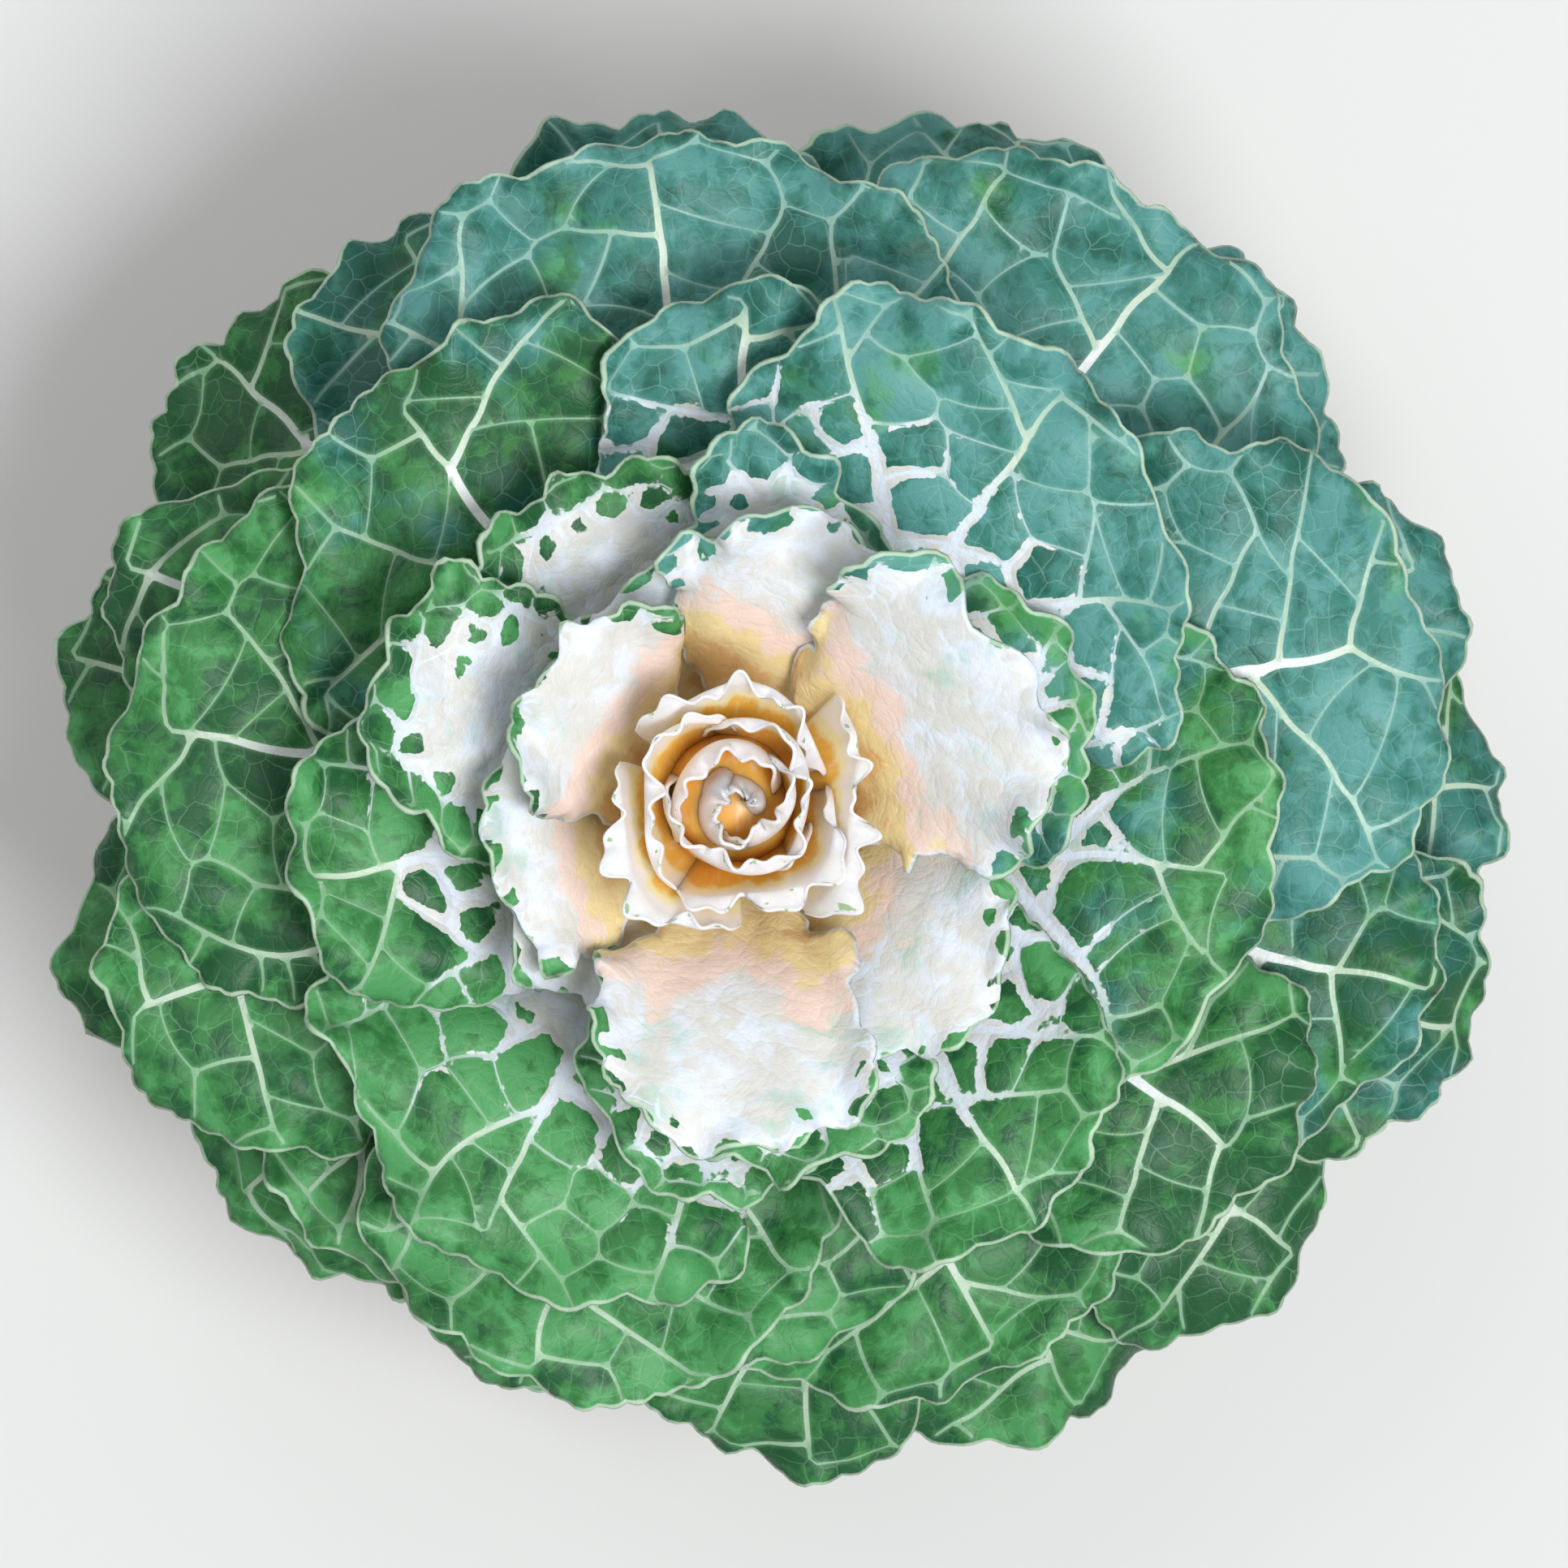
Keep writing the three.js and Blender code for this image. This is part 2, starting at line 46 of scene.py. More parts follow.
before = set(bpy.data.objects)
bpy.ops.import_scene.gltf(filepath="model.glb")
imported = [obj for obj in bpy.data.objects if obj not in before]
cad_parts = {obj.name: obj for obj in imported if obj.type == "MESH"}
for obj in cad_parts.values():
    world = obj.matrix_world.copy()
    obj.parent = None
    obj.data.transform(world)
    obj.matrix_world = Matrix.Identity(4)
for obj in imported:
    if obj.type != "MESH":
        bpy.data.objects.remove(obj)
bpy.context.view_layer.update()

# Lengths in this file are millimetres until a mesh is made.
MM = 0.001


def millimetres(corner):
    """A corner of a frame box in millimetres."""
    return np.array(corner) / MM


def node_box(node):
    """The lowest and highest corner of a node of the frame, in millimetres."""
    low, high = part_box(node)
    return millimetres(low), millimetres(high)


POT_HIGH = node_box("pot")[1]
STALK_LOW, STALK_HIGH = node_box("stalk")
HEART_LOW = node_box("heart")[0]

# The pot's and the stalk's sizes, from the frame.
POT_HEIGHT = POT_HIGH[2]
RIM_RADIUS = POT_HIGH[0]
FOOT_RADIUS = RIM_RADIUS * 2 / 3
RIM_BAND = 32
RIM_STEP = 5
WALL = 6.5
FLOOR = 8
DRAIN_RADIUS = 6
DRAIN_CIRCLE = 34
SOIL_TOP = POT_HEIGHT - 16
STALK_RADIUS = STALK_HIGH[0]

# A leaf's own sizes. Shares are of its length. A lobe is a count and a size, and a ruffle has its drift too.
BLADE = 1
PETIOLE_HALF = 4
PETIOLE_FLARE = 1.6
PETIOLE_SHARE = 0.124
RIB_HALF = 2.6
RIB_TIP_HALF = 0.7
RIB_DEPTH = 3
RIB_FADE = 1.3
BLADE_START = 0.2
FULLEST = 0.12
MARGIN_LOBES = [(3, 0.06), (5, 0.05), (8, 0.03)]
RUFFLES = [(17, 1, 8), (12, 0.5, -11)]
CUP_SPREAD = 0.02
ROLL_SPREAD = 0.02
SWAY_SPREAD = 6
STALK_GAP = 0.2
# Where the blade starts to wave and is free to, in shares of its start, and how far out its waves grow.
FREE_FROM, FREE_AT = 0.6, 2.2
RIM_REACH = 1.15
# The frill along the margin: where it starts and is full on the way out, the length of its waves, how far
# they drift, and the height, count and start of the ripples on them.
FRILL_START, FRILL_FULL = 0.66, 1.05
FRILL_LENGTH = 26
FRILL_DRIFT = 1.6
RIPPLE, RIPPLE_COUNT, RIPPLE_START = 0.4, 2.6, 0.85
# The number of each trait of a leaf for vary(), and how far it turns a wave, in radians.
TRAIT_CUP, TRAIT_ROLL, TRAIT_SWAY, TRAIT_LOBES, TRAIT_EDGE = 1, 2, 3, 6, 11
TRAIT_BLOOM, TRAIT_PLACE, TRAIT_TONE, TRAIT_WARM = 21, 22, 24, 25
PHASE_SPREAD = 3
# A leaf's grid in the frame: its rows as shares of the length, and as angles from the tip along the margin
# in degrees, and its columns as shares of the way from the rib to the margin.
GRID_ROWS = 8
GRID_SPAN = (0.224, 0.992)
GRID_TURNS = (156, 13)
GRID_COLUMNS = (0, 0.52, 1)

# The tiers of leaves from the lowest up. Slopes are in degrees. Each leaf is its azimuth in degrees from
# +X, the reach of its tip, its width, and its level: leaves of one level lie side by side.
TIERS = {
    "leaf_outer": {
        "rise": (17, 21), "fall": (-24, -20), "cup": -0.02, "ruffle": 3.6,
        "leaves": [
            (67, 173, 106, 0), (96, 163, 96, 1), (121, 157, 86, 2), (142, 165, 88, 0), (170, 160, 84, 1),
            (195, 161, 72, 2), (219, 151, 108, 0), (250, 147, 92, 1), (276, 158, 82, 2), (299, 167, 92, 0),
            (321, 172, 92, 1), (341, 182, 86, 2), (0, 181, 84, 0), (20, 176, 84, 1), (42, 173, 92, 2),
        ],
    },
    "leaf_middle": {
        "rise": (28, 34), "fall": (-8, -2), "cup": 0, "ruffle": 3.6,
        "leaves": [
            (97, 151, 134, 1), (133, 124, 104, 3), (158, 152, 68, 0), (173, 140, 116, 2), (198, 150, 92, 1),
            (222, 138, 84, 0), (249, 141, 100, 2), (272, 128, 76, 1), (296, 145, 106, 0), (323, 147, 94, 2),
            (343, 165, 94, 1), (13, 161, 122, 3), (51, 168, 128, 0),
        ],
    },
    "leaf_inner": {
        "rise": (40, 46), "fall": (2, 8), "cup": 0.02, "ruffle": 3.4,
        "leaves": [
            (90, 115, 66, 0), (190, 99, 76, 2), (238, 118, 108, 0), (307, 116, 76, 2), (349, 120, 118, 0),
            (50, 119, 120, 2),
        ],
    },
    "leaf_fringed": {
        "rise": (50, 55), "fall": (9, 15), "cup": 0.05, "ruffle": 2.6,
        "leaves": [
            (82, 80, 50, 1), (124, 80, 70, 0), (163, 84, 60, 1), (262, 90, 56, 0), (284, 84, 62, 1),
            (18, 84, 64, 0),
        ],
    },
    "leaf_cream": {
        "rise": (58, 67), "fall": (8, 26), "cup": 0.1, "ruffle": 2.2,
        "leaves": [
            (68, 62, 62, 4), (112, 54, 56, 1), (151, 50, 50, 6), (185, 54, 62, 3), (230, 58, 58, 0),
            (268, 76, 60, 5), (316, 72, 60, 2), (25, 72, 66, 7),
        ],
    },
}


@dataclass
class Dress:
    """How the net of veins and the colour go in one tier."""

    slot: str
    # The width of a cell of the net and how far it puffs up, in millimetres.
    cell: float
    puff: float
    # How high the margin's waves are, as a share of the usual.
    frill: float
    # How blue-green the leaves are, partly painted sky reflection, and how light, partly painted shade.
    bloom: float
    tone: float
    # The shares of the blade where the cream ends and where the green is full.
    cream_end: float
    green_full: float


# The low tone of the outer tiers is painted shade: they are drawn darker as they lie under the others.
DRESSES = {
    "leaf_outer": Dress("leaf_green", 14, 1.2, 1, bloom=0.26, tone=-0.65, cream_end=-0.2, green_full=0.05),
    "leaf_middle": Dress("leaf_teal", 14, 1.3, 1, bloom=0.28, tone=-0.1, cream_end=-0.1, green_full=0.2),
    "leaf_inner": Dress("leaf_inner", 11.5, 1.2, 1, bloom=0.16, tone=0.25, cream_end=0.45, green_full=0.87),
    "leaf_fringed": Dress("leaf_fringed", 7, 0.8, 1.2, bloom=0, tone=0.1, cream_end=0.45, green_full=1),
    "leaf_cream": Dress("leaf_cream", 6, 0.45, 1.5, bloom=0, tone=0.1, cream_end=0.8, green_full=1.24),
}
PALE_TIERS = ("leaf_fringed", "leaf_cream")
# The side of the plant, in radians from +X, where painted sky reflection makes the leaves most blue-green.
SKY_SHEEN_SIDE = 0.95


def vary(seed, trait):
    """A repeatable number from -1 to 1 for one trait of one leaf."""
    wild = math.sin(seed * 127.1 + trait * 311.7) * 43758.5453
    return 2 * (wild - math.floor(wild)) - 1


def smooth(values, start, end):
    """0 before start, 1 after end, and a smooth step between them."""
    share = np.clip((values - start) / (end - start), 0, 1)
    return share * share * (3 - 2 * share)


def blend(a, b, share):
    """From a to b as share goes from 0 to 1."""
    return a + (b - a) * share


@dataclass
class Leaf:
    """One leaf: where it grows from, how it bends, and its own small differences."""

    name: str
    tier: str
    level: int
    seed: int
    azimuth: float
    reach: float
    half_width: float
    length: float
    rise: float
    fall: float
    foot_radius: float
    cup: float
    roll: float
    sway: float
    ruffle: float
    foot_z: float = 0.0

    @property
    def start(self):
        return BLADE_START * self.length

    @property
    def half_length(self):
        return (self.length - self.start) / 2

    def on_oval(self, x, y):
        """A flat point as shares of the blade's oval, across and along it from its middle."""
        return x / self.half_width, (y - self.start - self.half_length) / self.half_length


def all_leaves():
    """Every leaf in the order in which it is laid on the ones below it."""
    leaves = []
    for tier, form in TIERS.items():
        top_level = max(level for *_, level in form["leaves"])
        laid = []
        for index, (azimuth, reach, width, level) in enumerate(form["leaves"]):
            seed = len(leaves) + index + 1
            rise = math.radians(blend(*form["rise"], level / top_level))
            fall = math.radians(blend(*form["fall"], level / top_level))
            foot_radius = STALK_RADIUS + STALK_GAP + math.sin(rise) * BLADE / 2
            laid.append(Leaf(
                name=f"{tier}_{index + 1:02d}",
                tier=tier,
                level=level,
                seed=seed,
                azimuth=math.radians(azimuth),
                reach=reach,
                half_width=width / 2,
                length=(reach - foot_radius) * (fall - rise) / (math.sin(fall) - math.sin(rise)),
                rise=rise,
                fall=fall,
                foot_radius=foot_radius,
                cup=form["cup"] + CUP_SPREAD * vary(seed, TRAIT_CUP),
                roll=ROLL_SPREAD * vary(seed, TRAIT_ROLL),
                sway=SWAY_SPREAD * vary(seed, TRAIT_SWAY),
                ruffle=form["ruffle"],
            ))
        leaves.extend(sorted(laid, key=lambda leaf: leaf.level))
    return leaves


def on_leaf(leaf, x, y, frill=0.0):
    """Points of the leaf's middle surface: x across and y along the flat leaf, from its foot."""
    bend = (leaf.fall - leaf.rise) / leaf.length
    slope = leaf.rise + bend * y
    out = leaf.foot_radius + (np.sin(slope) - math.sin(leaf.rise)) / bend
    up = leaf.foot_z + (math.cos(leaf.rise) - np.cos(slope)) / bend
    across, along = leaf.on_oval(x, y)
    rim = np.minimum(RIM_REACH, np.hypot(across, along))
    free = smooth(y, FREE_FROM * leaf.start, FREE_AT * leaf.start)
    turn = leaf.azimuth + np.arctan2(x, out)
    radius = np.hypot(x, out)
    waves = sum(size * np.sin(count * turn + radius / drift) for count, size, drift in RUFFLES)
    lift = free * (leaf.cup * leaf.half_width * across**2 + leaf.roll * x + leaf.ruffle * rim**3 * waves)
    if frill:
        phase = crimp(leaf, x, y)
        ripple = RIPPLE * np.sin(RIPPLE_COUNT * phase + leaf.seed) * smooth(rim, RIPPLE_START, FRILL_FULL)
        lift = lift + free * frill * (smooth(rim, FRILL_START, FRILL_FULL) ** 2 * np.sin(phase) + ripple)
    radial = out - np.sin(slope) * lift
    side = x + leaf.sway * (y / leaf.length) ** 2
    c, s = math.cos(leaf.azimuth), math.sin(leaf.azimuth)
    return np.column_stack([radial * c - side * s, radial * s + side * c, up + np.cos(slope) * lift])


def crimp(leaf, x, y):
    """The phase of the frill's waves, which go round the leaf's margin."""
    turn = np.arctan2(*leaf.on_oval(x, y))
    count = round(math.pi * (leaf.half_width + leaf.half_length) / FRILL_LENGTH)
    start, lag = (PHASE_SPREAD * vary(leaf.seed, TRAIT_EDGE + k) for k in (0, 1))
    return count * turn + start + FRILL_DRIFT * np.sin(3 * turn + lag)


def leaf_frame(leaf, x, y, frill):
    """Points of the middle surface and the way up from it there."""
    step = 0.5
    point = on_leaf(leaf, x, y, frill)
    along = on_leaf(leaf, x, y + step, frill) - point
    across = on_leaf(leaf, x + step, y, frill) - point
    normal = np.cross(along, across)
    return point, normal / np.linalg.norm(normal, axis=1)[:, None]


def margin(leaf, turn, side):
    """The margin of the flat leaf at an angle from its tip, on its +x or -x side, in radians."""
    lobes = 1 + sum(
        size * np.sin(count * side * turn + PHASE_SPREAD * vary(leaf.seed, TRAIT_LOBES + k))
        for k, (count, size) in enumerate(MARGIN_LOBES)
    )
    x = side * leaf.half_width * lobes * np.sin(turn) * (1 + FULLEST * np.cos(turn))
    return np.column_stack([x, leaf.start + leaf.half_length * (1 + np.cos(turn))])


def frame_foot(leaf):
    """How high the leaf's foot is in the frame, from the lowest corner of its node there."""
    shares = np.linspace(0, 1, GRID_ROWS)
    y = np.concatenate([[0, PETIOLE_SHARE], blend(*GRID_SPAN, shares)]) * leaf.length
    half = blend(RIB_HALF, RIB_TIP_HALF, y / leaf.length)
    depth = RIB_DEPTH * (1 - y / leaf.length) ** RIB_FADE
    lowest = math.inf
    for side in (-1, 1):
        edge = np.vstack([
            [[side * PETIOLE_HALF, 0], [side * (PETIOLE_HALF + PETIOLE_FLARE), PETIOLE_SHARE * leaf.length]],
            margin(leaf, np.radians(blend(*GRID_TURNS, shares)), side),
        ])
        for part in GRID_COLUMNS:
            x = blend(side * half, edge[:, 0], part)
            point, normal = leaf_frame(leaf, x, blend(y, edge[:, 1], part), 0)
            drop = np.where(np.arange(len(y)) < 2, depth / 3, 0) if part else depth
            lowest = min(lowest, (point - normal * (BLADE / 2 + drop)[:, None])[:, 2].min())
    return node_box(leaf.name)[0][2] - lowest


# The outline of a leaf, drawn on the flat leaf: its step, where it leaves the petiole in degrees from the
# tip, how far its scallops and lobes stand out, and how much more ragged the pale leaves are than the broad
# ones.
OUTLINE_STEP = 1.7
OUTLINE_FOOT = 170
OUTLINE_POINTS = 260
SCALLOP_SINK = 0.9
LOBE = 1.3
PALE_RAGGED = 1.4
BROAD_HALF = 40

# The fan's space, in shares of the leaf's length: where it starts, and where its cells are as wide as they
# are long.
FAN_FOOT = 0.02
FAN_EVEN = 0.6

# The net's cells: the tries to sow them, the least and greatest places of their middles as shares of the
# length, the way they keep from the midrib, and their spacing at the foot and how much of it is gone at the
# tip.
SOW_TRIES = 34
SOW_FOOT, SOW_SIDE, SOW_TIP = 0.08, 0.85, 1.12
AXIS_CLEAR = 0.42
FOOT_SPACING, SPACING_LOSS = 1.12, 0.34
NET_FOOT, NET_TIP = 0.1, 0.97
AXIS_SLACK = 1e-4

# The veins: half widths of the trunk and of the thinnest, how fast they thin, the leaf's length that they
# fit, the angles in degrees that the secondary ones head for and how far they stray, and what main and
# crooked ways cost.
FOOT_TRUNK = 2.9
THINNEST_VEIN = 0.26
THINNING = 0.72
USUAL_LENGTH, LENGTH_POWER = 150, 0.6
SECONDARIES = [22, 44, 66, 88, 110, 134, 156]
SECONDARY_STRAY = 7
MAIN_COST = 0.55
CROOKED_COST = 2.6
COST_SPREAD = (0.95, 1.1)
START_SWELL = 1.25

# How the veins that feed at least so many others are straightened, how the midrib wanders, and the step and
# bow of a vein's short pieces.
STRAIGHTENINGS = 9
STRAIGHTENED_FLOW = 4
OWN_PULL, NEIGHBOUR_PULL = 0.4, 0.3
WANDER, WANDER_TURNS, WANDER_REACH = 1.5, 6, 25
VEIN_STEP = 5
VEIN_BOW = 0.09


def wave(along, height, pitch, *phases):
    """A wave along the margin, of a height and of a pitch over one radian."""
    return height * np.sin(sum(phases, along / pitch))


def outline_of(leaf, rng):
    """The leaf's scalloped outline as a closed row of flat points, anticlockwise from its foot."""
    turns = np.linspace(math.radians(OUTLINE_FOOT), 0, OUTLINE_POINTS)
    right = margin(leaf, turns, 1)
    left = margin(leaf, turns, -1)
    flare = PETIOLE_HALF + PETIOLE_FLARE
    stem = np.array([[PETIOLE_HALF, 0], [flare, PETIOLE_SHARE * leaf.length]])
    path = np.vstack([stem, right, left[::-1][1:], (stem * [-1, 1])[::-1]])
    along = np.concatenate([[0], np.cumsum(np.linalg.norm(np.diff(path, axis=0), axis=1))])
    count = int(along[-1] / OUTLINE_STEP)
    s = np.linspace(0, along[-1], count)
    path = np.column_stack([np.interp(s, along, path[:, k]) for k in (0, 1)])
    ahead = np.gradient(path, axis=0)
    outward = np.column_stack([ahead[:, 1], -ahead[:, 0]]) / np.linalg.norm(ahead, axis=1)[:, None]
    phase = rng.uniform(0, 2 * math.pi, 4)
    drift = wave(s, 1.6, 23, phase[0]) + wave(s, 0.8, 9, phase[1])
    scallop = np.abs(wave(s, 1.2, 2.9, drift)) - SCALLOP_SINK
    tooth = wave(s, 0.7, 6.1, phase[2], drift) * wave(s, 1, 31, phase[3])
    lobe = LOBE * np.cos(crimp(leaf, *path.T))
    notches = wave(s, 1.1, 12, wave(s, 1.5, 27, phase[1])) * (1 + wave(s, 1, 41, phase[2]))
    free = smooth(path[:, 1], leaf.start * 0.9, leaf.start * 1.6)
    ragged = PALE_RAGGED if leaf.tier in PALE_TIERS else min(1, leaf.half_width / BROAD_HALF)
    return path + outward * (free * (scallop + tooth + lobe + notches) * ragged)[:, None]


def inside(points, outline):
    """Which points lie inside a closed outline."""
    x, y = points[:, :1], points[:, 1:]
    a, b = outline, np.roll(outline, -1, axis=0)
    crosses = (a[:, 1] > y) != (b[:, 1] > y)
    rise = np.where(b[:, 1] == a[:, 1], 1e-9, b[:, 1] - a[:, 1])
    return (crosses & (x < a[:, 0] + (y - a[:, 1]) * (b[:, 0] - a[:, 0]) / rise)).sum(axis=1) % 2 == 1


def fan_scale(leaf, radius):
    """How wide a radian of the fan is at a distance from its foot."""
    even = FAN_EVEN * leaf.length
    return even * np.sqrt(np.maximum(radius, 1) / even)


def to_fan(leaf, points):
    """Flat leaf points in a space that fans out from the foot, where the cells of the net are about even."""
    x, y = points[:, 0], points[:, 1] - FAN_FOOT * leaf.length
    radius = np.hypot(x, y)
    return np.column_stack([np.arctan2(x, y) * fan_scale(leaf, radius), radius])


def from_fan(leaf, spots):
    """Points of the fan's space back on the flat leaf."""
    turn = spots[:, 0] / fan_scale(leaf, spots[:, 1])
    return np.column_stack([np.sin(turn), np.cos(turn)]) * spots[:, 1:] + [0, FAN_FOOT * leaf.length]


def sow(leaf, cell, rng):
    """Scattered middles of cells on one side of the midrib, in the fan's space."""
    length = leaf.length
    low, high = [AXIS_CLEAR * cell, SOW_FOOT * length], [SOW_SIDE * length, SOW_TIP * length]
    seeds = np.empty((0, 2))
    for _ in range(int(SOW_TRIES * length * length / cell**2)):
        spot = rng.uniform(low, high)
        spacing = cell * (FOOT_SPACING - SPACING_LOSS * spot[1] / length)
        if spot[0] < AXIS_CLEAR * spacing:
            continue
        if len(seeds) == 0 or np.min(np.linalg.norm(seeds - spot, axis=1)) > spacing:
            seeds = np.vstack([seeds, spot])
    return seeds


def cell_borders(seeds):
    """The corners of the cells round the seeds, and the pairs of corners that a border joins."""
    points, _, faces, *_ = delaunay_2d_cdt([Vector(seed) for seed in seeds], [], [], 0, 1e-6)
    points = np.array([point[:] for point in points])
    corners = []
    across = {}
    links = []
    for face in faces:
        a, b, c = points[face]
        d = 2 * (a[0] * (b[1] - c[1]) + b[0] * (c[1] - a[1]) + c[0] * (a[1] - b[1]))
        if abs(d) < 1e-6:
            continue
        squares = [a @ a, b @ b, c @ c]
        corners.append([
            (squares[0] * (b[1] - c[1]) + squares[1] * (c[1] - a[1]) + squares[2] * (a[1] - b[1])) / d,
            (squares[0] * (c[0] - b[0]) + squares[1] * (a[0] - c[0]) + squares[2] * (b[0] - a[0])) / d,
        ])
        for k in range(3):
            edge = tuple(sorted((face[k], face[(k + 1) % 3])))
            if edge in across:
                links.append((across[edge], len(corners) - 1))
            across[edge] = len(corners) - 1
    return np.array(corners), links


class Net:
    """The net of veins of one leaf as places on the flat leaf and the links between them."""

    def __init__(self, leaf, outline, cell, rng):
        self.leaf = leaf
        self.rng = rng
        self.places = [(0.0, 0.0)]
        self.known = {(0.0, 0.0): 0}
        self.links = set()
        self.seeds = []
        axis = {0}
        for side in (-1, 1):
            seeds = sow(leaf, cell, rng)
            self.seeds.append(seeds * [side, 1])
            corners, links = cell_borders(np.vstack([seeds, seeds * [-1, 1]]))
            places = from_fan(leaf, corners) * [side, 1]
            low = corners[:, 1] < NET_FOOT * leaf.length
            kept = inside(places, outline) & ~low & (corners[:, 0] > -AXIS_SLACK)
            on_axis = np.abs(corners[:, 0]) < AXIS_SLACK
            kept |= on_axis & (places[:, 1] > leaf.start) & (places[:, 1] < NET_TIP * leaf.length)
            axis.update(self.place(places[k]) for k in np.flatnonzero(kept & on_axis))
            for a, b in links:
                if on_axis[a] and on_axis[b] or low[a] or low[b]:
                    continue
                if kept[a] and kept[b]:
                    self.join(places[a], places[b])
                elif kept[a] != kept[b] and min(corners[a, 0], corners[b, 0]) > -AXIS_SLACK:
                    near, far = (places[a], places[b]) if kept[a] else (places[b], places[a])
                    self.join(near, self.at_outline(near, far, outline))
        chain = sorted(axis, key=lambda k: self.places[k][1])
        self.axis = {tuple(sorted(pair)) for pair in zip(chain, chain[1:])}
        self.links |= self.axis
        self.seeds = np.vstack(self.seeds)
        self.grow()

    def place(self, spot):
        """The number of a place on the leaf, which is new if none is there yet."""
        key = (round(float(spot[0]), 1) + 0.0, round(float(spot[1]), 1))
        if key not in self.known:
            self.known[key] = len(self.places)
            self.places.append((float(spot[0]), float(spot[1])))
        return self.known[key]

    def join(self, a, b):
        """Links two places, unless they are one."""
        ends = tuple(sorted((self.place(a), self.place(b))))
        if ends[0] != ends[1]:
            self.links.add(ends)

    def at_outline(self, near, far, outline):
        """Where a vein that starts inside the outline meets it."""
        steps = near + np.linspace(0, 1, 12)[:, None] * (far - near)
        last = np.flatnonzero(~inside(steps, outline))
        return steps[max(0, last[0] - 1)] if len(last) else far

    def tree(self, costs):
        """The cheapest ways from the foot: each place's parent, in the order in which they are reached."""
        beside = {k: [] for k in range(len(self.places))}
        for (a, b), cost in costs.items():
            beside[a].append((b, cost))
            beside[b].append((a, cost))
        parent = {}
        ahead = [(0.0, 0, 0)]
        while ahead:
            cost, here, before = heapq.heappop(ahead)
            if here in parent:
                continue
            parent[here] = before
            for there, step in beside[here]:
                if there not in parent:
                    heapq.heappush(ahead, (cost + step, there, here))
        return parent

    def grow(self):
        """Widens the veins that feed the most others, and straightens those."""
        spots = np.array(self.places)
        costs = {}
        for a, b in sorted(self.links):
            run = spots[b] - spots[a]
            length = float(np.linalg.norm(run))
            outward = (spots[a] + spots[b]) / 2 - [0, FAN_FOOT * self.leaf.length]
            along = run @ outward / max(1e-6, length * np.linalg.norm(outward))
            crooked = self.rng.uniform(*COST_SPREAD) * (1 + CROOKED_COST * (1 - along**2))
            costs[(a, b)] = length * (MAIN_COST if (a, b) in self.axis else crooked)
        parent = self.tree(costs)
        for degrees in SECONDARIES:
            for side in (-1, 1):
                stray = self.rng.uniform(-SECONDARY_STRAY, SECONDARY_STRAY)
                aim = margin(self.leaf, math.radians(degrees + stray), side)[0]
                here = min(parent, key=lambda k: np.linalg.norm(spots[k] - aim))
                while parent[here] != here:
                    link = tuple(sorted((here, parent[here])))
                    if link not in self.axis:
                        costs[link] *= MAIN_COST
                    here = parent[here]
        parent = self.tree(costs)
        flow = {k: 1.0 for k in parent}
        for here in reversed(list(parent)):
            if parent[here] != here:
                flow[parent[here]] += flow[here]
        total = flow[0]
        size = (self.leaf.length / USUAL_LENGTH) ** LENGTH_POWER
        halves = {k: (THINNEST_VEIN + FOOT_TRUNK * (flow[k] / total) ** THINNING) * size for k in parent}
        for _ in range(STRAIGHTENINGS):
            moved = spots.copy()
            for here in parent:
                heir = max((k for k in parent if parent[k] == here and k != here), key=flow.get, default=None)
                if heir is None or flow[here] < STRAIGHTENED_FLOW or here == 0 or abs(spots[here][0]) < 1e-3:
                    continue
                moved[here] = spots[here] * OWN_PULL + (spots[parent[here]] + spots[heir]) * NEIGHBOUR_PULL
            spots = moved
        wander = WANDER * np.sin(spots[:, 1] / self.leaf.length * WANDER_TURNS + self.rng.uniform(0, 6))
        wander *= smooth(spots[:, 1], self.leaf.start, 2 * self.leaf.start)
        spots[:, 0] += wander * np.exp(-np.abs(spots[:, 0]) / WANDER_REACH)
        self.veins = []
        for a, b in sorted(self.links):
            if a not in parent or b not in parent:
                continue
            if parent[a] == b:
                a, b = b, a
            in_tree = parent[b] == a
            end = halves[b] if in_tree else THINNEST_VEIN * size
            start = min(halves[a], end * START_SWELL) if in_tree else end
            self.veins.append((spots[a], spots[b], start, end))

    def lines(self):
        """The veins as short straight pieces: their starts, ends, and half widths at both."""
        pieces = []
        for a, b, start, end in self.veins:
            length = np.linalg.norm(b - a)
            count = max(1, round(length / VEIN_STEP))
            bow = self.rng.uniform(-VEIN_BOW, VEIN_BOW) * (abs(a[0]) + abs(b[0]) > 1e-3)
            aside = np.array([b[1] - a[1], a[0] - b[0]]) * bow
            shares = np.linspace(0, 1, count + 1)[:, None]
            spots = a + (b - a) * shares + aside * 4 * shares * (1 - shares)
            halves = blend(start, end, shares[:, 0])
            pieces.extend(zip(spots[:-1], spots[1:], halves[:-1], halves[1:]))
        starts, ends, start_halves, end_halves = map(np.array, zip(*pieces))
        return starts, ends, start_halves, end_halves


# Points and veins are compared tile by tile, and clear distances are read up to NEAR.
TILE = 24
NEAR = 14


